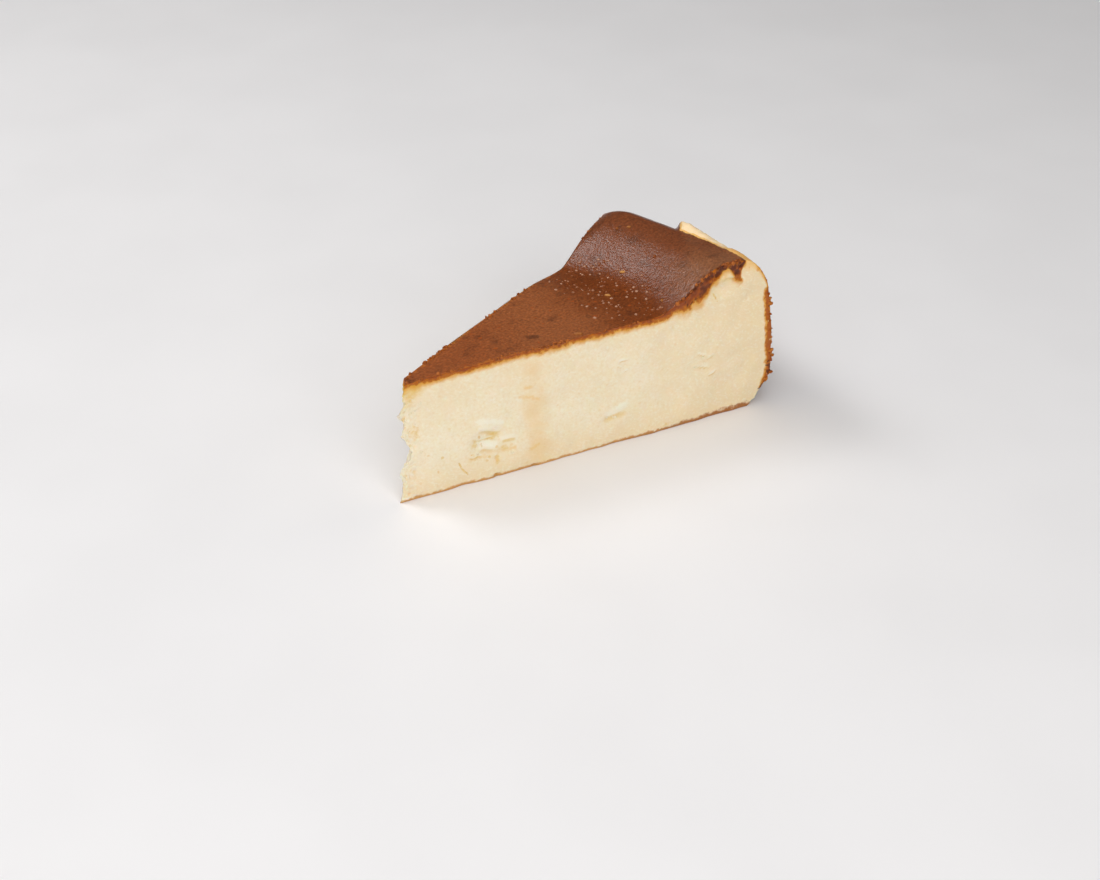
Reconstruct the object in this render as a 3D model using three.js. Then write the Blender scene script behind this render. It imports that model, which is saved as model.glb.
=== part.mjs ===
// One slice of a burnt-topped baked cheesecake: a twelfth of a round cake, cut with a knife.
// Millimetres, +Z up. The tip of the wedge points along -X and the rim of the cake faces +X.
// The origin is the middle of the slice's bounding box, on the flat base that it rests on.
// The near cut face is the one towards -Y, the far cut face the one towards +Y.
import * as THREE from "three";
import { mergeVertices } from "three/addons/utils/BufferGeometryUtils.js";

// Driving dimensions of the cake and of the cut
const CAKE_RADIUS = 115; // widest radius, low on the side of the cake
const SLICE_ANGLE = Math.PI / 6; // a twelfth of the cake
const AXIS_X = -57.9; // where the cake's axis stands from the origin
const CENTRE_HEIGHT = 38.1; // flat middle of the top
const TIP_SAG = 0.9; // the top sinks this much at the tip
const TIP_SAG_REACH = 35;

// The top climbs to a crest near the rim. Each pair is the size at the near cut and at the far cut.
const CLIMB_FOOT = [76.5, 75.8]; // radius where the climb starts
const CLIMB_TOP = [98, 98.5]; // radius where it ends, from where the crest is level
const CREST_RADIUS = [102.5, 98.5];
const CREST_HEIGHT = [49.4, 44];
const CREST_BULGE = 1.9; // the crest stands this much over a straight line
const CREST_BULGE_SKEW = 5; // power that draws the bulge towards the far cut
const STEEP_CLIMB_START = 1.3; // power of the steep climb at the far cut, over its foot
const STEEP_CLIMB_SPREAD = 3; // power by which the steep climb comes in across the slice
const FAR_DIP = 1.6; // hollow in front of the climb, deepest at the far cut
const FAR_DIP_RADIUS = 77;
const FAR_DIP_REACH = 17;

// The shoulder rounds over from the crest to the side, fuller where the pale lip stands along the rim.
// The lip runs from the near cut to a torn end, which slants, and a ridge of uneven height stands on it.
const SHOULDER_RADIUS = 112;
const SHOULDER_HEIGHT = [38, 35.5];
const LIP_FALL = 0.75; // power of the fall where the lip stands
const BARE_SHOULDER_FALL = 1.5; // power of the fall where the lip is torn off
const LIP_END = THREE.MathUtils.degToRad(2.1); // angle of the torn end, on the ridge
const LIP_END_SLANT = THREE.MathUtils.degToRad(0.525); // turn of the torn end for each millimetre outwards
const LIP_END_WIDTH = THREE.MathUtils.degToRad(1.4); // the torn end rounds over within this angle
const RIDGE_HEIGHT = [0, 0.45, 0.7, 0.05, 0.5, 0.9, 1.5, 2.2, 2.2]; // at even steps up to the torn end
const RIDGE_RADIUS = 105;
const RIDGE_HALF_WIDTH = 3.6;

// The side leans in towards the top, and its foot is rounded away from the base.
const SIDE_LEAN = 3;
const SIDE_LEAN_POWER = 1.6;
const FOOT_HEIGHT = 12;
const FOOT_ROUND = 6.9;
const FOOT_POWER = 1.6;

// The torn tip: how far the near cut stops short of the cake's axis, at even steps from base to top
const TIP_EROSION = [0.9, 1.4, 1.7, 1.2, 3, 5.2, 3.8, 2.2, 3, 1.6, 3.6, 3.2, 4];
const TIP_SLANT = 1.8; // the far cut stops this much shorter
const TIP_CRAG = 0.4; // loose crumb on the tip
const TIP_CRAG_SIZE = 2.6;
const SOUND_CUT_START = 3; // the cuts are smooth up to this radius, where the wedge is thin
const SOUND_CUT_END = 14;

// Crumb relief: depth and grain of each face
const CUT_WAVES = { depth: 0.35, size: 9 };
const CUT_CRUMB = { depth: 0.22, size: 3.8 };
const SIDE_WAVES = { depth: 0.45, size: 7 };
const SIDE_CRUMB = { depth: 0.4, size: 3.2 };
const SIDE_RELIEF_START = 0.1; // share of the height where the side's relief reaches its full depth
const TOP_WAVES = { depth: 0.3, size: 16 };

// Each cut has its own grain, a bow towards the middle of the slice, and hollows that the knife tore.
const NEAR_CUT = {
  seed: 11,
  bow: 0,
  tears: [
    { radius: 26, height: 13, halfLength: 7, halfHeight: 5.5, depth: 0.8 },
    { radius: 31, height: 8.5, halfLength: 5.5, halfHeight: 3.2, depth: 0.5 },
    { radius: 64, height: 10, halfLength: 5, halfHeight: 3.6, depth: 0.4 },
    { radius: 91, height: 19, halfLength: 5.5, halfHeight: 6, depth: 0.3 },
    { radius: 97, height: 42, halfLength: 4.5, halfHeight: 3.6, depth: 1 },
  ],
};
const FAR_CUT = {
  seed: 23,
  bow: 0.8,
  tears: [
    { radius: 21, height: 16, halfLength: 6, halfHeight: 5, depth: 0.9 },
    { radius: 52, height: 9, halfLength: 7, halfHeight: 3.5, depth: 0.7 },
    { radius: 84, height: 24, halfLength: 6, halfHeight: 5, depth: 0.6 },
  ],
};

// A shallow dimple in the top skin: place and size
const DIMPLE_RADIUS = 43;
const DIMPLE_ANGLE = THREE.MathUtils.degToRad(-6.3);
const DIMPLE_HALF_WIDTH = 3.4;
const DIMPLE_DEPTH = 0.35;

const SIDE_SEED = 37;
const TOP_SEED = 41;
const TIP_SEED = 53;

// Mesh steps along the wedge, across it and up it
const LENGTH_STEPS = 58;
const ANGLE_STEPS = 16;
const HEIGHT_STEPS = 22;
const END_CROWDING = 0.45; // how strongly the steps crowd towards the edges

const CUSTARD_COLOUR = "#e9d8b9";
const CUSTARD_ROUGHNESS = 0.6;

const { lerp, clamp, smoothstep } = THREE.MathUtils;

// A number from 0 to 1 that depends only on two whole numbers and a seed
function hash(i, j, seed) {
  let bits = Math.imul(i, 374761393) ^ Math.imul(j, 668265263) ^ Math.imul(seed, 1274126177);
  bits = Math.imul(bits ^ (bits >>> 13), 1274126177);
  return ((bits ^ (bits >>> 16)) >>> 0) / 2 ** 32;
}

// Smooth noise from -1 to 1 over a plane, one bump for each unit step
function noise(x, y, seed) {
  const i = Math.floor(x);
  const j = Math.floor(y);
  const across = smoothstep(x - i, 0, 1);
  const upward = smoothstep(y - j, 0, 1);
  const low = lerp(hash(i, j, seed), hash(i + 1, j, seed), across);
  const high = lerp(hash(i, j + 1, seed), hash(i + 1, j + 1, seed), across);
  return 2 * lerp(low, high, upward) - 1;
}

function grain({ depth, size }, x, y, seed) {
  return depth * noise(x / size, y / size, seed);
}

// 1 in the middle of a round patch, falling smoothly to 0 at a distance of 1
function patch(x, y) {
  const away = Math.hypot(x, y);
  return away < 1 ? (1 - away * away) ** 2 : 0;
}

// The value of an evenly spaced list at a share of the way along it
function profileAt(values, share) {
  const place = clamp(share, 0, 1) * (values.length - 1);
  const first = Math.min(Math.floor(place), values.length - 2);
  return lerp(values[first], values[first + 1], place - first);
}

// How much of the pale lip stands at a radius and an angle: 1 along the lip, 0 past its torn end
function lipShare(radius, angle) {
  const end = LIP_END + LIP_END_SLANT * (radius - RIDGE_RADIUS);
  const inside = clamp(0.5 + (end - angle) / LIP_END_WIDTH, 0, 1);
  return 1 - (1 - inside) ** 2;
}

// Height of the ridge on the lip
function ridgeHeight(radius, angle) {
  const along = (angle + SLICE_ANGLE / 2) / (LIP_END + SLICE_ANGLE / 2);
  return profileAt(RIDGE_HEIGHT, along) * patch((radius - RIDGE_RADIUS) / RIDGE_HALF_WIDTH, 0);
}

// Height of the top skin at a radius and at a share of the way from the near cut to the far cut
function topHeight(radius, share) {
  const angle = (share - 0.5) * SLICE_ANGLE;
  const crestRadius = lerp(...CREST_RADIUS, share);
  const crest = lerp(...CREST_HEIGHT, share) + CREST_BULGE * Math.sin(Math.PI * share ** CREST_BULGE_SKEW);
  if (radius <= crestRadius) {
    const sag = TIP_SAG * (1 - smoothstep(radius, 0, TIP_SAG_REACH));
    const dip = FAR_DIP * share ** 2 * patch((radius - FAR_DIP_RADIUS) / FAR_DIP_REACH, 0);
    const foot = lerp(...CLIMB_FOOT, share);
    const climb = clamp((radius - foot) / (lerp(...CLIMB_TOP, share) - foot), 0, 1);
    const gentle = smoothstep(climb, 0, 1);
    const steep = 1 - (1 - climb ** STEEP_CLIMB_START) ** 2;
    return lerp(CENTRE_HEIGHT - sag - dip, crest, lerp(gentle, steep, share ** STEEP_CLIMB_SPREAD));
  }
  const past = clamp((radius - crestRadius) / (SHOULDER_RADIUS - crestRadius), 0, 1);
  const lip = lipShare(radius, angle);
  const fall = lerp(1 - past ** BARE_SHOULDER_FALL, (1 - past ** 2) ** LIP_FALL, lip);
  return lerp(lerp(...SHOULDER_HEIGHT, share), crest, fall) + lip * ridgeHeight(radius, angle);
}

// Radius of the side of the cake at a height, up to the height of the shoulder
function sideRadius(height, shoulderHeight) {
  const rise = Math.max(0, (height - FOOT_HEIGHT) / (shoulderHeight - FOOT_HEIGHT));
  const lean = SIDE_LEAN * rise ** SIDE_LEAN_POWER;
  const foot = FOOT_ROUND * Math.max(0, 1 - height / FOOT_HEIGHT) ** FOOT_POWER;
  return CAKE_RADIUS - lean - foot;
}

// Radius where the torn tip starts, at a share of the way across the wedge and up it
function tipRadius(across, up) {
  const crag = TIP_CRAG * noise(2 * across, (up * CENTRE_HEIGHT) / TIP_CRAG_SIZE, TIP_SEED);
  return profileAt(TIP_EROSION, up) + TIP_SLANT * across + crag;
}

// Relief of a knife-cut face, outwards positive
function cutRelief(radius, height, { seed, bow, tears }) {
  const crumb = grain(CUT_WAVES, radius, height, seed) + grain(CUT_CRUMB, radius, height, seed + 1);
  const bowed = bow * Math.sin(Math.PI * clamp(radius / CAKE_RADIUS, 0, 1));
  let relief = crumb - bowed;
  for (const tear of tears) {
    const along = (radius - tear.radius) / tear.halfLength;
    const upward = (height - tear.height) / tear.halfHeight;
    relief -= tear.depth * patch(along, upward);
  }
  return relief * smoothstep(radius, SOUND_CUT_START, SOUND_CUT_END);
}

// Relief of the side crust, outwards positive
function sideRelief(angle, height) {
  const around = angle * CAKE_RADIUS;
  return grain(SIDE_WAVES, around, height, SIDE_SEED) + grain(SIDE_CRUMB, around, height, SIDE_SEED + 1);
}

// Relief of the top skin, upwards positive
function topRelief(radius, angle) {
  const x = radius * Math.cos(angle);
  const y = radius * Math.sin(angle);
  const dimpleX = x - DIMPLE_RADIUS * Math.cos(DIMPLE_ANGLE);
  const dimpleY = y - DIMPLE_RADIUS * Math.sin(DIMPLE_ANGLE);
  const dimple = DIMPLE_DEPTH * patch(dimpleX / DIMPLE_HALF_WIDTH, dimpleY / DIMPLE_HALF_WIDTH);
  const waves = grain(TOP_WAVES, x, y, TOP_SEED) * smoothstep(radius, 0, TIP_SAG_REACH);
  return waves - dimple;
}

// Crowds evenly spaced shares towards 0 and 1, where the edges of the slice are.
function crowd(share) {
  return lerp(share, smoothstep(share, 0, 1), END_CROWDING);
}

// The point of the slice at a share of the way along it from the tip, across it from the near cut and up it
function slicePoint(along, across, up, target) {
  const angle = (across - 0.5) * SLICE_ANGLE;
  const shoulderHeight = lerp(...SHOULDER_HEIGHT, across);
  const topRadius = lerp(tipRadius(across, 1), SHOULDER_RADIUS, along);
  let radius = lerp(tipRadius(across, up), sideRadius(up * shoulderHeight, shoulderHeight), along);
  let height = up * topHeight(topRadius, across);
  let sideways = 0;
  if (across === 0) {
    sideways = -cutRelief(radius, height, NEAR_CUT);
  } else if (across === 1) {
    sideways = cutRelief(radius, height, FAR_CUT);
  }
  if (along === 1) {
    radius += sideRelief(angle, height) * smoothstep(up, 0, SIDE_RELIEF_START);
  }
  if (up === 1) {
    height += topRelief(topRadius, angle);
  }
  const x = radius * Math.cos(angle) - sideways * Math.sin(angle);
  const y = radius * Math.sin(angle) + sideways * Math.cos(angle);
  return target.set(AXIS_X + x, y, height);
}

// A block of unit size whose points are carried to the surface of the slice
function sliceGeometry() {
  const block = new THREE.BoxGeometry(1, 1, 1, LENGTH_STEPS, ANGLE_STEPS, HEIGHT_STEPS);
  block.deleteAttribute("normal");
  block.deleteAttribute("uv");
  const geometry = mergeVertices(block);
  const places = geometry.getAttribute("position");
  const point = new THREE.Vector3();
  for (let i = 0; i < places.count; i++) {
    const along = crowd(places.getX(i) + 0.5);
    const across = places.getY(i) + 0.5;
    const up = crowd(places.getZ(i) + 0.5);
    slicePoint(along, across, up, point);
    places.setXYZ(i, point.x, point.y, point.z);
  }
  geometry.computeVertexNormals();
  return geometry;
}

const custard = new THREE.MeshStandardMaterial({
  color: CUSTARD_COLOUR,
  roughness: CUSTARD_ROUGHNESS,
  metalness: 0,
});

const slice = new THREE.Mesh(sliceGeometry(), custard);
slice.name = "cheesecake_slice";

const cheesecake = new THREE.Group();
cheesecake.add(slice);

export default cheesecake;
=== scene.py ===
"""A slice of burnt-topped baked cheesecake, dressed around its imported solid.

The slice's form is worked out in millimetres about the cake's axis, as radius, angle and height, and turned
into metres when its mesh is made. The near cut faces -Y, the far cut +Y, the torn tip -X and the browned
side +X.
"""

import logging
import math
from abc import ABC, abstractmethod
from dataclasses import dataclass
from enum import Enum
from typing import Any, ClassVar, Mapping

import bpy
import numpy as np
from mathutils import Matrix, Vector


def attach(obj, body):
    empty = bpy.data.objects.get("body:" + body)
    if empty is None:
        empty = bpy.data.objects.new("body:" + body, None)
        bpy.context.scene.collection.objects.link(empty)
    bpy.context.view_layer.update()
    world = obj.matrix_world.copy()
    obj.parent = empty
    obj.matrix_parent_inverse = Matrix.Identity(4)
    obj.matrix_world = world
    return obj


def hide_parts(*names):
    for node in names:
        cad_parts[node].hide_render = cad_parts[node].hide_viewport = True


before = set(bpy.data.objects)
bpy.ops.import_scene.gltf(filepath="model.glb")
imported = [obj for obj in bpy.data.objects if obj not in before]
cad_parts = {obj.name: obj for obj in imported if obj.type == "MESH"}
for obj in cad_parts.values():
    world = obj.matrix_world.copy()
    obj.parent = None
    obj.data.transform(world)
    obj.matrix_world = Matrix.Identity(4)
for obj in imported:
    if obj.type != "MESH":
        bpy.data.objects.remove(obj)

LOG = logging.getLogger("cheesecake")
Array = np.ndarray
Tree = bpy.types.NodeTree
Socket = bpy.types.NodeSocket
Drawn = Mapping[str, Socket]
Span = tuple[float, float]
Pairs = tuple[Span, ...]
NODE = "cheesecake_slice"
BODY = "root"
MM = 0.001
SQUARE_CM_PER_SQUARE_M = 1.0e4
UP = (0.0, 0.0, 1.0)
NOISE_MIDDLE = 0.5


class Zone(Enum):
    """The surfaces of the slice that have a finish of their own."""

    TOP = 0
    CUT = 1
    SIDE = 2
    BASE = 3
    LIP = 4


class Grain(Enum):
    """The kinds of relief that a layer of the surface can have."""

    ROLLING = "rolling"
    BLOCKS = "blocks"
    PITS = "pits"


def mix(start: Any, end: Any, share: Any) -> Any:
    """Goes from start to end by a share from 0 to 1."""
    return start + (end - start) * share


def ease(value: Any, low: float, high: float) -> Any:
    """Rises smoothly from 0 at low to 1 at high."""
    share = np.clip((value - low) / (high - low), 0.0, 1.0)
    return share * share * (3.0 - 2.0 * share)


def patch(x: Any, y: Any = 0.0) -> Any:
    """Is 1 in the middle of a round patch and falls smoothly to 0 at a distance of 1."""
    return np.clip(1.0 - (x * x + y * y), 0.0, 1.0) ** 2


def lattice_hash(i: Array, j: Array, seed: int) -> Array:
    """Draws a number from 0 to 1 for each point of a lattice.

    Args:
        i: Whole numbers along the lattice.
        j: Whole numbers up the lattice.
        seed: Picks one of many lattices.

    Returns:
        The draws, which depend on nothing but the arguments.
    """
    bits = i.astype(np.uint32) * np.uint32(374761393)
    bits = bits ^ (j.astype(np.uint32) * np.uint32(668265263))
    bits = bits ^ np.uint32((seed * 1274126177) % 2**32)
    bits = (bits ^ (bits >> np.uint32(13))) * np.uint32(1274126177)
    return (bits ^ (bits >> np.uint32(16))).astype(float) / 2.0**32


def lattice_noise(x: Array, y: Array, seed: int) -> Array:
    """Makes smooth noise over a plane, with one bump for each unit step.

    Args:
        x: Places along the plane.
        y: Places up the plane.
        seed: Picks one of many patterns.

    Returns:
        Values from -1 to 1.
    """
    i = np.floor(x).astype(np.int64)
    j = np.floor(y).astype(np.int64)
    across = ease(x - i, 0.0, 1.0)
    upward = ease(y - j, 0.0, 1.0)
    low = mix(lattice_hash(i, j, seed), lattice_hash(i + 1, j, seed), across)
    high = mix(lattice_hash(i, j + 1, seed), lattice_hash(i + 1, j + 1, seed), across)
    return 2.0 * mix(low, high, upward) - 1.0


def linear(hex_colour: str) -> tuple[float, float, float, float]:
    """Turns an sRGB hex colour into a linear one.

    Args:
        hex_colour: The colour, as #rrggbb.

    Returns:
        Its linear red, green, blue and alpha.
    """
    channels = [int(hex_colour[i : i + 2], 16) / 255.0 for i in (1, 3, 5)]
    lit = [c / 12.92 if c <= 0.04045 else ((c + 0.055) / 1.055) ** 2.4 for c in channels]
    return (lit[0], lit[1], lit[2], 1.0)


def per_metre(size_mm: float) -> float:
    """Gives the texture scale at which one bump of a pattern has a size in millimetres."""
    return 1.0 / (size_mm * MM)


def add_node(tree: Tree, kind: str, inputs: Mapping[int | str, Any] | None = None, **settings: Any) -> Any:
    """Adds a node with its settings and links.

    Args:
        tree: The node tree to add to.
        kind: Blender's name for the node's type.
        inputs: What each input gets, by its index, identifier or name: a socket to link from, or a value.
        **settings: Properties of the node itself.

    Returns:
        The new node's outputs.
    """
    node = tree.nodes.new(kind)
    for name, value in settings.items():
        setattr(node, name, value)
    for key, value in (inputs or {}).items():
        if isinstance(key, int):
            socket = node.inputs[key]
        else:
            socket = next(s for s in node.inputs if key in (s.identifier, s.name))
        if isinstance(value, Socket):
            tree.links.new(value, socket)
        else:
            socket.default_value = value
    return node.outputs


@dataclass(frozen=True)
class Patch:
    """A round patch on a cut face, in millimetres."""

    radius: float
    height: float
    half_length: float
    half_height: float

    def cover(self, radius: Array, height: Array) -> Array:
        """Says how much of the patch is at each place on the cut, from 0 to 1."""
        return patch((radius - self.radius) / self.half_length, (height - self.height) / self.half_height)


@dataclass(frozen=True)
class Tear(Patch):
    """A hollow that the knife tore in a cut face, in millimetres."""

    depth: float


@dataclass(frozen=True)
class Ledge:
    """A flap that the knife dragged out of a cut face, and the hollow under its lower edge. In millimetres.

    The hollow's reach, its depth and the rounding of the edge are shares of the flap's reach and lift.
    """

    radius: float
    height: float
    half_length: float
    reach: float
    lift: float
    slope: float = 0.0
    hollow_reach: float = 0.7
    hollow_depth: float = 0.5
    rounding: float = 0.2
    waver: float = 0.5
    waver_size: float = 1.7
    waver_seed: int = 3

    def cover(self, radius: Array, height: Array) -> tuple[Array, Array]:
        """Says what of the flap and of the hollow under it is at each place on the cut.

        Args:
            radius: Distance from the cake's axis.
            height: Height over the base.

        Returns:
            The share of the flap, which is 1 at its lower edge, and the share of the hollow.
        """
        run = radius - self.radius
        waver = lattice_noise(radius / self.waver_size, np.full_like(radius, self.height), self.waver_seed)
        over = (height - self.height - self.slope * run - self.waver * waver) / self.reach
        span = np.sqrt(np.clip(1.0 - (run / self.half_length) ** 2, 0.0, 1.0))
        flap = span * ease(over, 1.0, 0.0) * ease(over, -self.rounding, self.rounding)
        hollow = span * ease(over, -self.hollow_reach, -self.rounding)
        return flap, hollow * ease(over, self.rounding, -self.rounding)


@dataclass(frozen=True)
class Cut:
    """A knife-cut face: its grain, its bow towards the middle of the slice, and what the knife tore."""

    seed: int
    bow: float
    tears: tuple[Tear, ...]
    nicks: tuple[Tear, ...] = ()
    ledges: tuple[Ledge, ...] = ()
    ochres: tuple[Patch, ...] = ()

    def ochre(self, radius: Array, height: Array) -> Array:
        """Says how deep the ochre of a patch is at each place, from 0 to 1."""
        return np.max([p.cover(radius, height) for p in self.ochres], axis=0)

    def torn(self, radius: Array, height: Array) -> Array:
        """Says how torn the cut is at each place, from 0 to 1."""
        return np.max([t.cover(radius, height) for t in self.tears + self.nicks], axis=0)

    def dragged(self, radius: Array, height: Array) -> tuple[Array, Array]:
        """Says how much of a flap and of a hollow under one is at each place, from 0 to 1."""
        flap, hollow = np.max([ledge.cover(radius, height) for ledge in self.ledges], axis=0)
        return flap, hollow


@dataclass(frozen=True)
class Fade:
    """A smooth change from 0 at one place to 1 at another, which may be the lower one. In millimetres."""

    start: float
    end: float

    def at(self, place: Array) -> Array:
        """Gives the share of the change at each place."""
        return ease(place, self.start, self.end)


@dataclass(frozen=True)
class SurfacePoints:
    """Points on the slice's surface: which surfaces each is on, and where it is.

    Distances are in millimetres, and places in metres in the part's frame. What is climbing, at the tip and
    off the base is a share from 0 to 1: of the climb to the rim, of the torn tip and of what clears the base.
    """

    near: Array
    far: Array
    side: Array
    top: Array
    across: Array
    radius: Array
    angle: Array
    height: Array
    depth: Array
    to_cut: Array
    from_side: Array
    past_skin: Array
    climbing: Array
    tip: Array
    off_base: Array
    places: Array

    @property
    def cuts(self) -> Array:
        """Says which points are on a cut."""
        return self.near | self.far

    @property
    def near_half(self) -> Array:
        """Says which points are nearer to the near cut than to the far one."""
        return self.across < 0.5


@dataclass(frozen=True)
class SliceForm:
    """The form of the slice, in millimetres about the cake's axis.

    Pairs are sizes at the near and at the far cut, and those of waves and crumb are their depth and size.
    """

    cake_radius: float = 115.0
    slice_angle: float = math.pi / 6
    axis_x: float = -57.9
    centre_height: float = 38.1
    tip_sag: float = 0.9
    tip_sag_reach: float = 35.0
    climb_foot: Span = (76.5, 75.8)
    climb_top: Span = (98.0, 98.5)
    crest_radius: Span = (102.5, 98.5)
    crest_height: Span = (49.4, 44.0)
    crest_bulge: float = 1.9
    crest_bulge_skew: float = 5.0
    steep_climb_start: float = 1.3
    steep_climb_spread: float = 3.0
    far_dip: float = 1.6
    far_dip_radius: float = 77.0
    far_dip_reach: float = 17.0
    shoulder_radius: float = 112.0
    shoulder_height: Span = (38.0, 35.5)
    lip_fall: float = 0.75
    bare_shoulder_fall: float = 1.5
    lip_end: float = math.radians(2.1)
    lip_end_slant: float = math.radians(0.525)
    lip_end_width: float = math.radians(1.4)
    ridge: tuple[float, ...] = (0.0, 0.45, 0.7, 0.05, 0.5, 0.9, 1.5, 2.2, 2.2)
    ridge_radius: float = 105.0
    ridge_half_width: float = 3.6
    side_lean: float = 3.0
    side_lean_power: float = 1.6
    foot_height: float = 12.0
    foot_round: float = 6.9
    foot_power: float = 1.6
    tip_erosion: tuple[float, ...] = (0.9, 1.4, 1.7, 1.2, 3.0, 5.2, 3.8, 2.2, 3.0, 1.6, 3.6, 3.2, 4.0)
    tip_slant: float = 1.8
    tip_crag: float = 0.4
    tip_crag_size: float = 2.6
    tip_crag_rows: float = 2.0
    sound_cut: Fade = Fade(3.0, 14.0)
    cut_waves: Span = (0.35, 9.0)
    cut_crumb: Span = (0.22, 3.8)
    side_waves: Span = (0.45, 7.0)
    side_crumb: Span = (0.4, 3.2)
    side_relief_start: float = 0.1
    top_waves: Span = (0.3, 16.0)
    dimple_radius: float = 43.0
    dimple_angle: float = math.radians(-6.3)
    dimple_half_width: float = 3.4
    dimple_depth: float = 0.35
    skin_overhang: float = 1.0
    climb_starts: Fade = Fade(80.0, 87.0)
    climb_ends: Fade = Fade(104.2, 103.2)
    tip_starts: Fade = Fade(9.0, 3.5)
    base_ends: Fade = Fade(0.0, 0.8)
    side_seed: int = 37
    top_seed: int = 41
    tip_seed: int = 53
    near_cut: Cut = Cut(
        seed=11,
        bow=0.0,
        tears=(
            Tear(26.0, 13.0, 7.0, 5.5, 0.8),
            Tear(31.0, 8.5, 5.5, 3.2, 0.5),
            Tear(64.0, 10.0, 5.0, 3.6, 0.4),
            Tear(91.0, 19.0, 5.5, 6.0, 0.3),
            Tear(97.0, 42.0, 4.5, 3.6, 1.0),
        ),
        nicks=(
            Tear(28.9, 0.6, 1.5, 0.9, 1.0),
            Tear(40.0, 0.4, 1.3, 0.6, 0.6),
            Tear(29.3, 6.2, 1.5, 2.0, 0.4),
            Tear(66.6, 25.6, 2.4, 2.8, 0.2),
        ),
        ledges=(
            Ledge(27.3, 15.6, 3.8, 4.2, 0.45, -0.33),
            Ledge(26.0, 13.2, 3.0, 1.6, 0.25, -0.3),
            Ledge(26.6, 9.5, 3.2, 3.6, 0.4, -0.24),
            Ledge(23.2, 8.2, 3.0, 1.8, 0.2, -0.32),
            Ledge(32.4, 11.6, 2.6, 2.8, 0.12, -0.1),
            Ledge(65.0, 10.4, 4.0, 4.4, 0.2, 0.12),
            Ledge(66.8, 27.0, 1.7, 1.4, 0.35, 0.3),
            Ledge(65.9, 25.0, 1.6, 1.2, 0.3, -0.5),
            Ledge(67.6, 23.6, 1.3, 1.2, 0.3, 0.3),
            Ledge(91.6, 22.4, 1.8, 1.6, 0.28, -0.3),
            Ledge(94.6, 21.0, 1.7, 1.5, 0.28, 0.3),
            Ledge(92.4, 17.8, 2.2, 1.8, 0.3, -0.2),
            Ledge(95.2, 15.6, 1.6, 1.6, 0.28, 0.2),
            Ledge(98.9, 45.4, 1.5, 2.4, 0.9, 0.0),
        ),
        ochres=(
            Patch(27.6, 13.4, 4.0, 2.0),
            Patch(22.6, 12.2, 1.8, 3.6),
            Patch(31.0, 8.6, 3.2, 2.2),
            Patch(29.3, 5.6, 1.8, 2.6),
            Patch(22.6, 7.8, 3.4, 1.7),
            Patch(26.9, 7.0, 0.9, 0.9),
            Patch(5.0, 32.6, 4.4, 6.0),
            Patch(5.7, 21.6, 3.4, 4.6),
            Patch(81.1, 1.9, 1.9, 1.3),
        ),
    )
    far_cut: Cut = Cut(
        seed=23,
        bow=0.8,
        tears=(
            Tear(21.0, 16.0, 6.0, 5.0, 0.9),
            Tear(52.0, 9.0, 7.0, 3.5, 0.7),
            Tear(84.0, 24.0, 6.0, 5.0, 0.6),
        ),
        ledges=(
            Ledge(22.0, 19.0, 3.8, 4.0, 0.5, 0.25),
            Ledge(53.0, 10.4, 4.2, 3.2, 0.35, -0.15),
            Ledge(85.0, 25.6, 2.8, 2.4, 0.3, 0.2),
        ),
        ochres=(
            Patch(22.0, 16.6, 4.6, 3.4),
            Patch(53.0, 8.8, 4.6, 2.4),
            Patch(84.0, 23.4, 4.0, 3.4),
        ),
    )

    def before_lip_end(self, radius: Array, angle: Array) -> Array:
        """Gives the angle that is left to the slanted torn end of the pale lip, negative past it."""
        return self.lip_end + self.lip_end_slant * (radius - self.ridge_radius) - angle

    def ridge_height(self, radius: Array, angle: Array) -> Array:
        """Gives the height of the uneven ridge on the pale lip.

        Args:
            radius: Distance from the cake's axis.
            angle: Angle about it, from the middle of the slice.

        Returns:
            Heights over the lip.
        """
        along = (angle + self.slice_angle / 2) / (self.lip_end + self.slice_angle / 2)
        height = np.interp(along, np.linspace(0.0, 1.0, len(self.ridge)), self.ridge)
        return height * patch((radius - self.ridge_radius) / self.ridge_half_width)

    def top_height(self, radius: Array, across: Array) -> Array:
        """Gives the height of the top skin.

        Args:
            radius: Distance from the cake's axis.
            across: Share of the way from the near cut to the far cut.

        Returns:
            Heights over the base.
        """
        angle = (across - 0.5) * self.slice_angle
        crest_radius = mix(*self.crest_radius, across)
        bulge = self.crest_bulge * np.sin(np.pi * across**self.crest_bulge_skew)
        crest = mix(*self.crest_height, across) + bulge
        sag = self.tip_sag * (1.0 - ease(radius, 0.0, self.tip_sag_reach))
        dip = self.far_dip * across**2 * patch((radius - self.far_dip_radius) / self.far_dip_reach)
        foot = mix(*self.climb_foot, across)
        climb = np.clip((radius - foot) / (mix(*self.climb_top, across) - foot), 0.0, 1.0)
        gentle = ease(climb, 0.0, 1.0)
        steep = 1.0 - (1.0 - climb**self.steep_climb_start) ** 2
        climb = mix(gentle, steep, across**self.steep_climb_spread)
        inner = mix(self.centre_height - sag - dip, crest, climb)
        past = np.clip((radius - crest_radius) / (self.shoulder_radius - crest_radius), 0.0, 1.0)
        inside = np.clip(0.5 + self.before_lip_end(radius, angle) / self.lip_end_width, 0.0, 1.0)
        lip = 1.0 - (1.0 - inside) ** 2
        fall = mix(1.0 - past**self.bare_shoulder_fall, (1.0 - past**2) ** self.lip_fall, lip)
        outer = mix(mix(*self.shoulder_height, across), crest, fall) + lip * self.ridge_height(radius, angle)
        return np.where(radius <= crest_radius, inner, outer)

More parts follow.
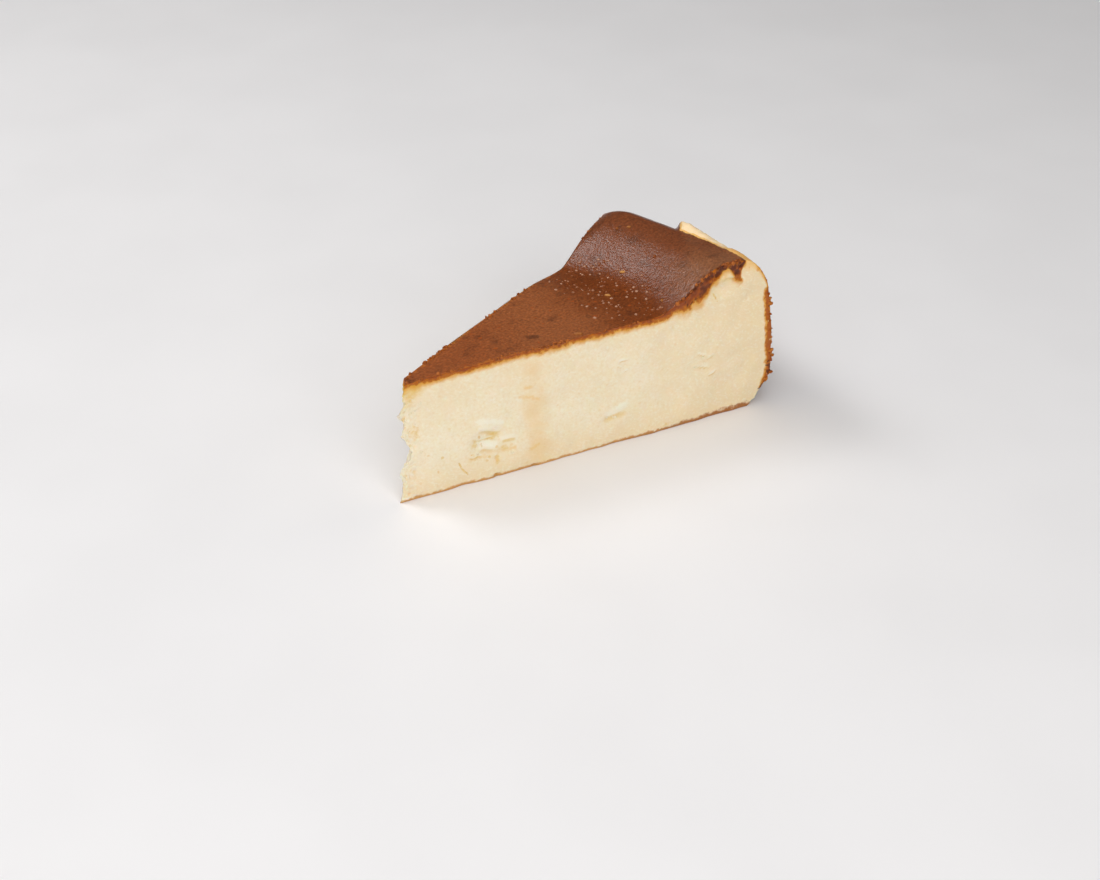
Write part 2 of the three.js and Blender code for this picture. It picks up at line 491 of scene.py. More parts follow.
    def side_radius(self, height: Array, shoulder: Array) -> Array:
        """Gives the radius of the cake's side.

        Args:
            height: Height over the base, up to that of the shoulder.
            shoulder: Height of the shoulder.

        Returns:
            Distances from the cake's axis.
        """
        rise = np.maximum(0.0, (height - self.foot_height) / (shoulder - self.foot_height))
        lean = self.side_lean * rise**self.side_lean_power
        foot = self.foot_round * np.maximum(0.0, 1.0 - height / self.foot_height) ** self.foot_power
        return self.cake_radius - lean - foot

    def tip_radius(self, across: Array, up: Array) -> Array:
        """Gives the radius where the torn tip starts.

        Args:
            across: Share of the way from the near cut to the far cut.
            up: Share of the way from the base to the top.

        Returns:
            Distances from the cake's axis.
        """
        steps = np.linspace(0.0, 1.0, len(self.tip_erosion))
        rows = self.tip_crag_rows * across
        crag = lattice_noise(rows, up * self.centre_height / self.tip_crag_size, self.tip_seed)
        return np.interp(up, steps, self.tip_erosion) + self.tip_slant * across + self.tip_crag * crag

    def cut_relief(self, radius: Array, height: Array, cut: Cut) -> Array:
        """Gives how far a cut face stands out from its flat plane.

        Args:
            radius: Distance from the cake's axis.
            height: Height over the base.
            cut: The cut.

        Returns:
            Distances, negative in a hollow.
        """
        relief = -cut.bow * np.sin(np.pi * np.clip(radius / self.cake_radius, 0.0, 1.0))
        for seed, (depth, size) in enumerate((self.cut_waves, self.cut_crumb), cut.seed):
            relief = relief + depth * lattice_noise(radius / size, height / size, seed)
        for tear in cut.tears + cut.nicks:
            relief = relief - tear.depth * tear.cover(radius, height)
        for ledge in cut.ledges:
            flap, hollow = ledge.cover(radius, height)
            relief = relief + ledge.lift * (flap - ledge.hollow_depth * hollow)
        return relief * self.sound_cut.at(radius)

    def side_relief(self, angle: Array, height: Array) -> Array:
        """Gives how far the side crust stands out from its smooth form.

        Args:
            angle: Angle about the cake's axis, from the middle of the slice.
            height: Height over the base.

        Returns:
            Distances, negative in a hollow.
        """
        around = angle * self.cake_radius
        relief = np.zeros_like(around)
        for seed, (depth, size) in enumerate((self.side_waves, self.side_crumb), self.side_seed):
            relief = relief + depth * lattice_noise(around / size, height / size, seed)
        return relief

    def from_dimple(self, radius: Array, angle: Array) -> tuple[Array, Array]:
        """Gives how far places on the skin are from the middle of its shallow dimple.

        Args:
            radius: Distance from the cake's axis.
            angle: Angle about it, from the middle of the slice.

        Returns:
            Distances along X and along Y.
        """
        x = radius * np.cos(angle) - self.dimple_radius * math.cos(self.dimple_angle)
        y = radius * np.sin(angle) - self.dimple_radius * math.sin(self.dimple_angle)
        return x, y

    def top_relief(self, radius: Array, angle: Array) -> Array:
        """Gives how far the top skin stands over its smooth form.

        Args:
            radius: Distance from the cake's axis.
            angle: Angle about it, from the middle of the slice.

        Returns:
            Distances, negative in a hollow.
        """
        depth, size = self.top_waves
        waves = lattice_noise(radius * np.cos(angle) / size, radius * np.sin(angle) / size, self.top_seed)
        relief = depth * waves * ease(radius, 0.0, self.tip_sag_reach)
        x, y = self.from_dimple(radius, angle)
        return relief - self.dimple_depth * patch(x / self.dimple_half_width, y / self.dimple_half_width)

    def points(self, along: Array, across: Array, up: Array) -> SurfacePoints:
        """Carries points of a unit block to the surface of the slice.

        Args:
            along: Shares of the way from the tip to the side.
            across: Shares of the way from the near cut to the far cut.
            up: Shares of the way from the base to the top.

        Returns:
            The points.
        """
        angle = (across - 0.5) * self.slice_angle
        shoulder = mix(*self.shoulder_height, across)
        top_radius = mix(self.tip_radius(across, np.ones_like(up)), self.shoulder_radius, along)
        radius = mix(self.tip_radius(across, up), self.side_radius(up * shoulder, shoulder), along)
        top = self.top_height(top_radius, across)
        height = up * top
        near = np.where(across == 0.0, -self.cut_relief(radius, height, self.near_cut), 0.0)
        sideways = near + np.where(across == 1.0, self.cut_relief(radius, height, self.far_cut), 0.0)
        crust = self.side_relief(angle, height) * ease(up, 0.0, self.side_relief_start)
        out = radius + np.where(along == 1.0, crust, 0.0)
        z = height + np.where(up == 1.0, self.top_relief(top_radius, angle), 0.0)
        x = self.axis_x + out * np.cos(angle) - sideways * np.sin(angle)
        y = out * np.sin(angle) + sideways * np.cos(angle)
        past_crest = radius - mix(*self.crest_radius, across) - self.skin_overhang
        return SurfacePoints(
            near=across == 0.0,
            far=across == 1.0,
            side=along == 1.0,
            top=up == 1.0,
            across=across,
            radius=radius,
            angle=angle,
            height=height,
            depth=top - height,
            to_cut=(0.5 - np.abs(across - 0.5)) * self.slice_angle * radius,
            from_side=self.side_radius(np.minimum(height, shoulder), shoulder) - radius,
            past_skin=np.minimum(past_crest, self.before_lip_end(radius, angle) * radius),
            climbing=self.climb_starts.at(radius) * self.climb_ends.at(radius),
            tip=self.tip_starts.at(radius),
            off_base=self.base_ends.at(height),
            places=np.stack([x, y, z], axis=1) * MM,
        )

    def torn(self, at: SurfacePoints) -> Array:
        """Says how torn the cuts are at each point, from 0 to 1."""
        near = self.near_cut.torn(at.radius, at.height) * at.near
        return near + self.far_cut.torn(at.radius, at.height) * at.far

    def top_place(self, radius: float, angle: float) -> Vector:
        """Gives a place on the top skin.

        Args:
            radius: Distance from the cake's axis.
            angle: Angle about it, from the middle of the slice.

        Returns:
            The place in metres in the part's frame.
        """
        across = np.array([angle / self.slice_angle + 0.5])
        at = np.array([radius])
        height = self.top_height(at, across) + self.top_relief(at, np.array([angle]))
        x = self.axis_x + radius * math.cos(angle)
        return Vector((x, radius * math.sin(angle), float(height[0]))) * MM


@dataclass(frozen=True)
class Pattern:
    """Uneven noise on the piece's own coordinates, from -0.5 to 0.5.

    A bump has a size in millimetres, finer layers on it, a stretch along X, Y and Z, and a turn about Y in
    degrees.
    """

    name: str
    size: float
    detail: float = 2.0
    stretch: tuple[float, float, float] = (1.0, 1.0, 1.0)
    turn: float = 0.0

    def draw(self, tree: Tree) -> Socket:
        """Adds the pattern to a material.

        Args:
            tree: The material's node tree.

        Returns:
            The socket with the noise.
        """
        place = add_node(tree, "ShaderNodeTexCoord")["Object"]
        inputs = {"Vector": place, "Rotation": (0.0, math.radians(self.turn), 0.0), "Scale": self.stretch}
        place = add_node(tree, "ShaderNodeMapping", inputs, vector_type="TEXTURE")["Vector"]
        inputs = {"Vector": place, "Scale": per_metre(self.size), "Detail": self.detail}
        noise = add_node(tree, "ShaderNodeTexNoise", inputs)["Fac"]
        return add_node(tree, "ShaderNodeMath", {0: noise, 1: NOISE_MIDDLE}, operation="SUBTRACT")[0]


@dataclass(frozen=True)
class Field:
    """One of the mesh's own fields. The whole range of a pattern, or of two, may shift it by a reach."""

    name: str
    reach: float = 0.0
    pattern: str = ""
    finer: str = ""

    def draw(self, tree: Tree, drawn: Drawn) -> Socket:
        """Adds the field to a material.

        Args:
            tree: The material's node tree.
            drawn: The material's patterns by name.

        Returns:
            The socket with the field.
        """
        even = add_node(tree, "ShaderNodeAttribute", attribute_name=self.name)["Fac"]
        if not self.pattern:
            return even
        noise = drawn[self.pattern]
        if self.finer:
            noise = add_node(tree, "ShaderNodeMath", {0: noise, 1: drawn[self.finer]}, operation="ADD")[0]
        inputs = {0: noise, 1: self.reach, 2: even}
        return add_node(tree, "ShaderNodeMath", inputs, operation="MULTIPLY_ADD")[0]


@dataclass(frozen=True)
class Within:
    """One of the mesh's own fields, counted as far as another one says."""

    name: str
    where: str

    def draw(self, tree: Tree, drawn: Drawn) -> Socket:
        """Adds the field to a material.

        Args:
            tree: The material's node tree.
            drawn: The material's patterns by name.

        Returns:
            The socket with the field.
        """
        whole, share = (Field(name).draw(tree, drawn) for name in (self.name, self.where))
        return add_node(tree, "ShaderNodeMath", {0: whole, 1: share}, operation="MULTIPLY")[0]


@dataclass(frozen=True)
class Spots:
    """Small scattered spots, from 0 to 1, found where one of the mesh's own fields says so.

    Their spacing, before some are left out, and their radius are in millimetres. Out to a share of the
    radius, the core, a spot is full, and a pattern makes its outline uneven.
    """

    where: str
    spacing: float
    radius: float
    kept: float
    core: float = 0.4
    raggedness: float = 2.0
    outline: str = "ragged"

    def draw(self, tree: Tree, drawn: Drawn) -> Socket:
        """Adds the spots to a material.

        Args:
            tree: The material's node tree.
            drawn: The material's patterns by name.

        Returns:
            The socket with the spots.
        """
        reach = self.radius / self.spacing
        place = add_node(tree, "ShaderNodeTexCoord")["Object"]
        cells = add_node(tree, "ShaderNodeTexVoronoi", {"Vector": place, "Scale": per_metre(self.spacing)})
        lot = add_node(tree, "ShaderNodeSeparateColor", {"Color": cells["Color"]})["Red"]
        picked = add_node(tree, "ShaderNodeMath", {0: lot, 1: 1.0 - self.kept}, operation="GREATER_THAN")[0]
        inputs = {0: drawn[self.outline], 1: self.raggedness * reach, 2: cells["Distance"]}
        away = add_node(tree, "ShaderNodeMath", inputs, operation="MULTIPLY_ADD")[0]
        inputs = {"Value": away, "From Min": reach, "From Max": self.core * reach}
        near = add_node(tree, "ShaderNodeMapRange", inputs, interpolation_type="SMOOTHSTEP")["Result"]
        spot = add_node(tree, "ShaderNodeMath", {0: picked, 1: near}, operation="MULTIPLY")[0]
        spread = Field(self.where).draw(tree, drawn)
        return add_node(tree, "ShaderNodeMath", {0: spot, 1: spread}, operation="MULTIPLY")[0]


@dataclass(frozen=True)
class Coat:
    """A colour laid on those below it where a value goes from a start to a full cover, which may be lower.

    The colour is an sRGB hex value or a paint, and the value is a pattern's name, a field or spots. A full
    cover hides at most a given share of what is below.
    """

    colour: "str | Paint"
    value: str | Field | Within | Spots
    start: float
    full: float
    most: float = 1.0

    def lay(self, tree: Tree, under: Any, drawn: Drawn) -> Socket:
        """Lays the coat on a colour.

        Args:
            tree: The material's node tree.
            under: The colour below, as a socket or as linear red, green, blue and alpha.
            drawn: The material's patterns by name.

        Returns:
            The socket with the colour.
        """
        over = linear(self.colour) if isinstance(self.colour, str) else self.colour.lay(tree, drawn)
        value = drawn[self.value] if isinstance(self.value, str) else self.value.draw(tree, drawn)
        inputs = {"Value": value, "From Min": self.start, "From Max": self.full, "To Max": self.most}
        share = add_node(tree, "ShaderNodeMapRange", inputs, interpolation_type="SMOOTHSTEP")["Result"]
        inputs = {"Factor_Float": share, "A_Color": under, "B_Color": over}
        return add_node(tree, "ShaderNodeMix", inputs, data_type="RGBA")[2]


@dataclass(frozen=True)
class Shade:
    """Makes the colours below lighter and darker by a pattern, whose whole range changes them by a share."""

    pattern: str
    reach: float

    def lay(self, tree: Tree, under: Any, drawn: Drawn) -> Socket:
        """Shades a colour.

        Args:
            tree: The material's node tree.
            under: The colour, as a socket or as linear red, green, blue and alpha.
            drawn: The material's patterns by name.

        Returns:
            The socket with the uneven colour.
        """
        inputs = {0: drawn[self.pattern], 1: self.reach, 2: 1.0}
        share = add_node(tree, "ShaderNodeMath", inputs, operation="MULTIPLY_ADD")[0]
        return add_node(tree, "ShaderNodeHueSaturation", {"Color": under, "Value": share})["Color"]


@dataclass(frozen=True)
class Paint:
    """A ground colour, as an sRGB hex value, and what is laid on it, the lowest first."""

    ground: str
    coats: tuple[Coat | Shade, ...]

    def lay(self, tree: Tree, drawn: Drawn) -> Socket:
        """Lays the ground and its coats.

        Args:
            tree: The material's node tree.
            drawn: The material's patterns by name.

        Returns:
            The socket with the colour.
        """
        colour: Any = linear(self.ground)
        for coat in self.coats:
            colour = coat.lay(tree, colour, drawn)
        return colour


@dataclass(frozen=True)
class Glow:
    """Light that spreads under a surface: its share, its reach in millimetres, and each colour's part."""

    weight: float
    reach: float
    colours: tuple[float, float, float]


@dataclass(frozen=True)
class Bump:
    """Relief too fine for the mesh: the pattern it follows, its depth in millimetres and its strength."""

    pattern: str
    depth: float
    strength: float = 1.0


@dataclass(frozen=True, kw_only=True)
class Finish(ABC):
    """What every finish has: a name, patterns of a real size, colours, and how light meets it."""

    name: str
    patterns: tuple[Pattern, ...]
    roughness: float
    ior: float = 1.5
    glow: Glow | None = None
    bump: Bump | None = None

    @abstractmethod
    def paint(self) -> Paint:
        """Gives the finish's colours."""

    def material(self) -> bpy.types.Material:
        """Makes the finish.

        Returns:
            The material.
        """
        material = bpy.data.materials.new(self.name)
        material.use_nodes = True
        tree = material.node_tree
        tree.nodes.clear()
        drawn = {pattern.name: pattern.draw(tree) for pattern in self.patterns}
        inputs = {"Base Color": self.paint().lay(tree, drawn), "Roughness": self.roughness, "IOR": self.ior}
        if self.glow:
            inputs["Subsurface Weight"] = self.glow.weight
            inputs["Subsurface Radius"] = self.glow.colours
            inputs["Subsurface Scale"] = self.glow.reach * MM
        if self.bump:
            relief = {"Height": drawn[self.bump.pattern], "Distance": self.bump.depth * MM}
            relief["Strength"] = self.bump.strength
            inputs["Normal"] = add_node(tree, "ShaderNodeBump", relief)["Normal"]
        shader = add_node(tree, "ShaderNodeBsdfPrincipled", inputs)["BSDF"]
        add_node(tree, "ShaderNodeOutputMaterial", {"Surface": shader})
        return material


@dataclass(frozen=True, kw_only=True)
class BrownedSkin(Finish):
    """Milk skin browned in a hot oven: a thin satin film, dark brown and leathery, torn off along the lip."""

    name: str = "browned_milk_skin"
    patterns: tuple[Pattern, ...] = (
        Pattern("tone", 13.0, 4.0),
        # The leathery grain is about 0.2 mm on a real skin. It is drawn coarser, so that it shows.
        Pattern("grain", 0.55, 3.0, (1.3, 1.1, 1.0)),
        Pattern("ragged", 1.5, 3.0),
        Pattern("blotch", 5.0, 3.0),
        Pattern("crumble", 5.0, 5.0),
    )
    roughness: float = 0.3
    glow: Glow | None = Glow(0.1, 1.0, (1.0, 0.45, 0.2))
    bump: Bump | None = Bump("grain", 0.12)
    tip_brown: str = "#94512a"
    middle_brown: str = "#975730"
    valley_brown: str = "#753914"
    crest_brown: str = "#7a4224"
    near_crest_brown: str = "#8b5838"
    dark_brown: str = "#55301c"
    speck_orange: str = "#a4501f"
    edge_orange: str = "#b96a2a"
    scorch: str = "#5f2c14"
    torn_gold: str = "#f4c071"
    crust_brown: str = "#9c5a28"

    def paint(self) -> Paint:
        """Gives the skin's colours, from the tip to the crest and then along its edges.

        Returns:
            The tip's brown and what lies on it.
        """
        along = Field("radius", 30.0, "tone")
        near_crest = Coat(self.near_crest_brown, Field("across", 0.5, "tone"), 0.45, 0.1)
        crest = Paint(self.crest_brown, (near_crest,))
        return Paint(
            self.tip_brown,
            (
                Coat(self.middle_brown, along, 25.0, 50.0),
                Coat(self.valley_brown, along, 52.0, 76.0),
                Coat(crest, Field("radius", 12.0, "tone"), 82.0, 92.0),
                Coat(self.dark_brown, "blotch", 0.05, 0.25, 0.5),
                Shade("grain", 1.6),
                Coat(self.speck_orange, Spots("speck_field", 2.6, 0.6, 0.4), 0.1, 0.8, 0.8),
                Coat(self.edge_orange, Field("edge_glow", 4.5, "ragged"), 1.0, 0.0, 0.8),
                Coat(self.dark_brown, Field("smudge", 0.9, "ragged"), 0.15, 1.0, 0.7),
                Coat(self.scorch, Field("scorch", 4.0, "ragged"), 0.2, 0.8, 0.85),
                Coat(self.crust_brown, Field("from_side", 14.0, "crumble"), 4.0, 0.0),
                Coat(self.torn_gold, Field("past_skin", 1.2, "ragged"), -0.1, 0.1),
            ),
        )


@dataclass(frozen=True, kw_only=True)
class BareLip(Finish):
    """Custard laid bare where the skin tore off along the rim: thin and pale, golden at its edges."""

    name: str = "bare_lip"
    patterns: tuple[Pattern, ...] = (Pattern("ragged", 1.5, 3.0), Pattern("blotch", 5.0, 5.0))
    roughness: float = 0.55
    ior: float = 1.4
    glow: Glow | None = Glow(0.2, 0.8, (1.0, 0.62, 0.34))
    cream: str = "#ffdfb2"
    gold: str = "#f4c67c"
    orange: str = "#ecae58"
    brown: str = "#a5652f"

    def paint(self) -> Paint:
        """Gives the lip's colours, from the skin's torn edge out to the side.

        Returns:
            The gold of the torn edge and what lies on it.
        """
        crown = Paint(self.cream, (Coat(self.orange, Field("to_cut", 30.0, "blotch"), 15.0, 4.0, 0.9),))
        outer = Field("from_side", 10.0, "blotch", "ragged")
        return Paint(
            self.gold,
            (
                Coat(crown, Field("past_skin", 1.2, "ragged"), 0.0, 0.8),
                Coat(self.orange, outer, 5.5, 3.0),
                Coat(self.brown, outer, 3.2, 0.4),
            ),
        )


@dataclass(frozen=True, kw_only=True)
class BakedCustard(Finish):
    """Baked custard, cut with a knife: pale, moist, a little translucent, and browned along its edges."""

    name: str = "baked_custard"
    patterns: tuple[Pattern, ...] = (
        Pattern("cloud", 12.0, 4.0),
        Pattern("smear", 4.0, 4.0),
        Pattern("blotch", 2.4, 5.0),
        Pattern("ragged", 1.0, 3.0),
        Pattern("curd", 0.8),
        # The drag marks of a real blade are about 0.2 mm wide. They are drawn wider, so that they show.
        Pattern("fibre", 0.5, 3.0, (4.0, 4.0, 1.0), 28.0),
    )
    roughness: float = 0.5
    ior: float = 1.4
    glow: Glow | None = Glow(0.4, 2.0, (1.0, 0.62, 0.34))
    bump: Bump | None = Bump("fibre", 0.07)
    pale: str = "#fbebce"
    cream: str = "#f9e7c6"
    warm: str = "#f4ddb3"
    white: str = "#fff6e2"
    peach: str = "#f3d29a"
    hollow: str = "#eac671"
    fleck: str = "#ecc374"
    slit: str = "#e6bb50"
    stain: str = "#f2cb82"
    char: str = "#5f2c14"
    brown: str = "#96491a"
    crust_brown: str = "#b05c1c"
    amber: str = "#bb6a10"
    gold: str = "#df9e2e"
    honey: str = "#f0d193"
    ochre: str = "#ebc46c"
    shoulder_gold: str = "#f6cb86"
    shoulder_orange: str = "#e9a54c"
    base_tan: str = "#dda05c"
    base_brown: str = "#b0703a"

    def paint(self) -> Paint:
        """Gives the custard's colours: its clouds and curd, the knife's marks, then its browned edges.

        Returns:
            The pale ground and what lies on it.
        """
        return Paint(
            self.pale,
            (
                Coat(self.cream, "cloud", -0.15, 0.15),
                # Warmer and darker towards the outer end: partly the custard's own colour, partly painted
                # falloff of light, which is brightest at the tip.
                Coat(self.warm, Field("radius", 24.0, "cloud"), 55.0, 130.0),
                Coat(self.warm, Field("height", 12.0, "cloud"), 12.0, 0.0, 0.7),
                # Painted shade: a darker warm tone towards the top of the cut face.
                Coat(self.warm, Field("height", 12.0, "cloud"), 24.0, 38.0, 0.35),
                Coat(self.white, "fibre", 0.05, 0.25, 0.4),
                Coat(self.white, "curd", 0.0, 0.25, 0.45),
                Coat(self.warm, "curd", 0.0, -0.25, 0.6),
                Coat(self.peach, Field("streak", 1.6, "smear"), 0.1, 1.3, 0.65),
                Coat(self.stain, Field("stain", 1.6, "ragged"), 0.9, 0.0, 0.6),
                Coat(self.hollow, Field("ochre", 2.2, "blotch", "ragged"), 0.1, 1.2, 0.7),
                # Painted highlight on the raised relief and painted shade in its hollows.
                Coat(self.white, Field("rise"), 0.06, 0.3, 0.6),
                Coat(self.hollow, Field("rise"), -0.08, -0.35, 0.5),
                # Painted highlight on the flaps and along their upper edges, and painted shadow in the
                # hollows under them.
                Coat(self.white, Field("flap", 0.8, "blotch"), 0.15, 0.8, 0.6),
                Coat(self.white, Field("painted_flap_highlight", 1.8, "ragged"), 1.3, 0.3, 0.7),
                Coat(self.hollow, Field("painted_flap_shadow", 1.4, "blotch"), 0.3, 1.0, 0.6),
                Coat(self.fleck, Spots("fleck_field", 2.8, 0.6, 0.75), 0.0, 1.0, 0.7),
                Coat(self.slit, Field("slit", 0.5, "ragged"), 0.38, 0.08, 0.8),
                *self.browned_edges(),
            ),
        )

    def browned_edges(self) -> tuple[Coat, ...]:
        """Gives the colours along the top, the side and the base.

        Returns:
            The coats, the lowest first.
        """
        under_top = Paint(
            self.ochre,
            (
                Coat(self.honey, Field("radius", 6.0, "ragged"), 7.0, 13.0),
                Coat(self.shoulder_gold, Field("radius", 6.0, "blotch"), 99.5, 103.0),
            ),
        )
        base = Paint(self.base_tan, (Coat(self.base_brown, Field("radius", 30.0, "ragged"), 50.0, 100.0),))
        dragged = Within("rise", "smear")
        return (
            Coat(under_top, Field("under_gold", 1.5, "blotch"), 1.4, 0.1),
            Coat(self.shoulder_orange, Spots("shoulder_field", 2.6, 0.9, 0.6), 0.0, 1.0, 0.7),
            *self.baked_edge("under_skin", "scorch", self.brown, 1.8),
            *self.baked_edge("under_crust", "burnt", self.crust_brown, 0.7),
            Coat(self.char, dragged, 0.0, -0.25, 0.85),
            Coat(self.amber, dragged, 0.05, 0.3, 0.85),
            Coat(self.honey, Spots("crumb_field", 1.5, 0.45, 0.5), 0.0, 1.0, 0.8),
            Coat(base, Field("over_base", 2.4, "blotch", "ragged"), 1.9, 0.7),
        )

    def baked_edge(self, edge: str, burnt: str, brown: str, glow: float) -> tuple[Coat, ...]:
        """Gives the colours of one baked edge, from its golden glow to its char.

        Args:
            edge: The field with the distance from the edge, negative in the crust.
            burnt: The field that says where it is charred.
            brown: The colour of the crust.
            glow: How far the glow reaches into the custard, in millimetres.

        Returns:
            The coats, the lowest first.
        """
        rough = Field(edge, 2.2, "blotch", "ragged")
        return (
            Coat(self.gold, Field(edge, 2.0, "blotch"), glow, 0.0, 0.9),
            Coat(self.amber, rough, 0.2 * glow, -0.3),
            Coat(brown, rough, -0.4, -1.1),
            Coat(self.char, Field(burnt, 2.8, "blotch", "ragged"), 0.35, 0.75, 0.9),
        )


@dataclass(frozen=True, kw_only=True)
class BrownedSide(Finish):
    """Side of the cake, browned in its tin: a dry crumbly crust, orange to dark brown, bare at its foot."""

    name: str = "browned_side_crust"
    patterns: tuple[Pattern, ...] = (Pattern("patches", 9.0, 4.0), Pattern("crumb", 1.4, 4.0))
    roughness: float = 0.8
    bump: Bump | None = Bump("crumb", 0.3, 0.6)
    light: str = "#cd8640"
    middle: str = "#b06a2c"
    dark: str = "#7f3f14"
    bare: str = "#efd09a"
    skin_brown: str = "#7d4526"
    base_brown: str = "#a9692f"

    def paint(self) -> Paint:
        """Gives the crust's colours: its crumb, its dark patches, then its upper edge and its foot.

        Returns:
            The crust's brown and what lies on it.
        """
        return Paint(
            self.middle,
            (
                Coat(self.light, "crumb", -0.05, 0.2),
                Coat(self.dark, Field("height", 45.0, "patches"), 26.0, 8.0),
                # Painted shade in the crust's hollows.
                Coat(self.dark, Field("rise"), -0.05, -0.5, 0.8),
                Coat(self.skin_brown, Field("height", 24.0, "patches"), 31.0, 38.0, 0.8),
                Coat(self.bare, Field("height", 14.0, "patches"), 6.5, 2.5),
                Coat(self.base_brown, Field("height", 0.9, "crumb"), 1.3, 0.8),
            ),
        )


@dataclass(frozen=True, kw_only=True)
class BakedBase(Finish):
    """Underside of the cake, baked on paper: a thin dull brown film."""

    name: str = "baked_base_film"
    patterns: tuple[Pattern, ...] = (Pattern("blotch", 6.0, 4.0),)
    roughness: float = 0.7
    brown: str = "#c08a50"
    dark: str = "#94602f"

    def paint(self) -> Paint:
        """Gives the film's brown with its darker blotches."""
        return Paint(self.brown, (Coat(self.dark, "blotch", -0.1, 0.2),))


@dataclass(frozen=True, kw_only=True)
class CrumbFinish(Finish):
    """Loose crumb or blister: a small grain whose colour is drawn between two tones."""

    patterns: tuple[Pattern, ...] = (Pattern("mottle", 0.5),)
    first: str
    second: str

    def paint(self) -> Paint:
        """Gives the grain's first colour with the second laid on by its own tone."""
        return Paint(self.first, (Coat(self.second, Field("tone", 0.6, "mottle"), 0.0, 1.0),))


@dataclass(frozen=True, kw_only=True)
class PaleFloor(Finish):
    """Plain pale studio floor, matt, with the faintest mottling."""

    name: str = "pale_floor"
    patterns: tuple[Pattern, ...] = (Pattern("mottle", 60.0),)
    roughness: float = 0.6
    light: str = "#f3f1f1"
    shade: str = "#f0eeee"

    def paint(self) -> Paint:
        """Gives the floor's two pale tones."""
        return Paint(self.light, (Coat(self.shade, "mottle", -0.2, 0.2),))


def start_tree(name: str, sockets: Mapping[str, str]) -> tuple[Tree, Any]:
    """Starts a Geometry Nodes tree with named inputs.

    Args:
        name: The tree's name.
        sockets: The type of each input after the geometry, by its name.

    Returns:
        The tree and what it is given, by name.
    """
    tree = bpy.data.node_groups.new(name, "GeometryNodeTree")
    tree.interface.new_socket("Geometry", in_out="INPUT", socket_type="NodeSocketGeometry")
    tree.interface.new_socket("Geometry", in_out="OUTPUT", socket_type="NodeSocketGeometry")
    for label, kind in sockets.items():
        tree.interface.new_socket(label, in_out="INPUT", socket_type=kind)
    return tree, add_node(tree, "NodeGroupInput")


def apply_tree(piece: bpy.types.Object, tree: Tree, values: Mapping[str, Any]) -> None:
    """Runs a Geometry Nodes tree on a piece and leaves the result as its plain mesh.

    Args:
        piece: The piece, which has no other modifier.
        tree: The tree to run.
        values: What the tree's inputs get, by name.
    """
    modifier = piece.modifiers.new(tree.name, "NODES")
    modifier.node_group = tree
    sockets = {s.name: s.identifier for s in tree.interface.items_tree if s.in_out == "INPUT"}
    for name, value in values.items():
        modifier[sockets[name]] = value
    graph = bpy.context.evaluated_depsgraph_get()
    shown = piece.evaluated_get(graph)
    made = bpy.data.meshes.new_from_object(shown, preserve_all_data_layers=True, depsgraph=graph)
    piece.modifiers.remove(modifier)
    raw = piece.data
    piece.data = made
    bpy.data.meshes.remove(raw)
    made.name = piece.name


def new_piece(name: str, mesh: bpy.types.Mesh) -> bpy.types.Object:
    """Puts a mesh in the scene as an object at the origin.

    Args:
        name: The object's name.
        mesh: The mesh.

    Returns:
        The object.
    """
    piece = bpy.data.objects.new(name, mesh)
    bpy.context.scene.collection.objects.link(piece)
    return piece


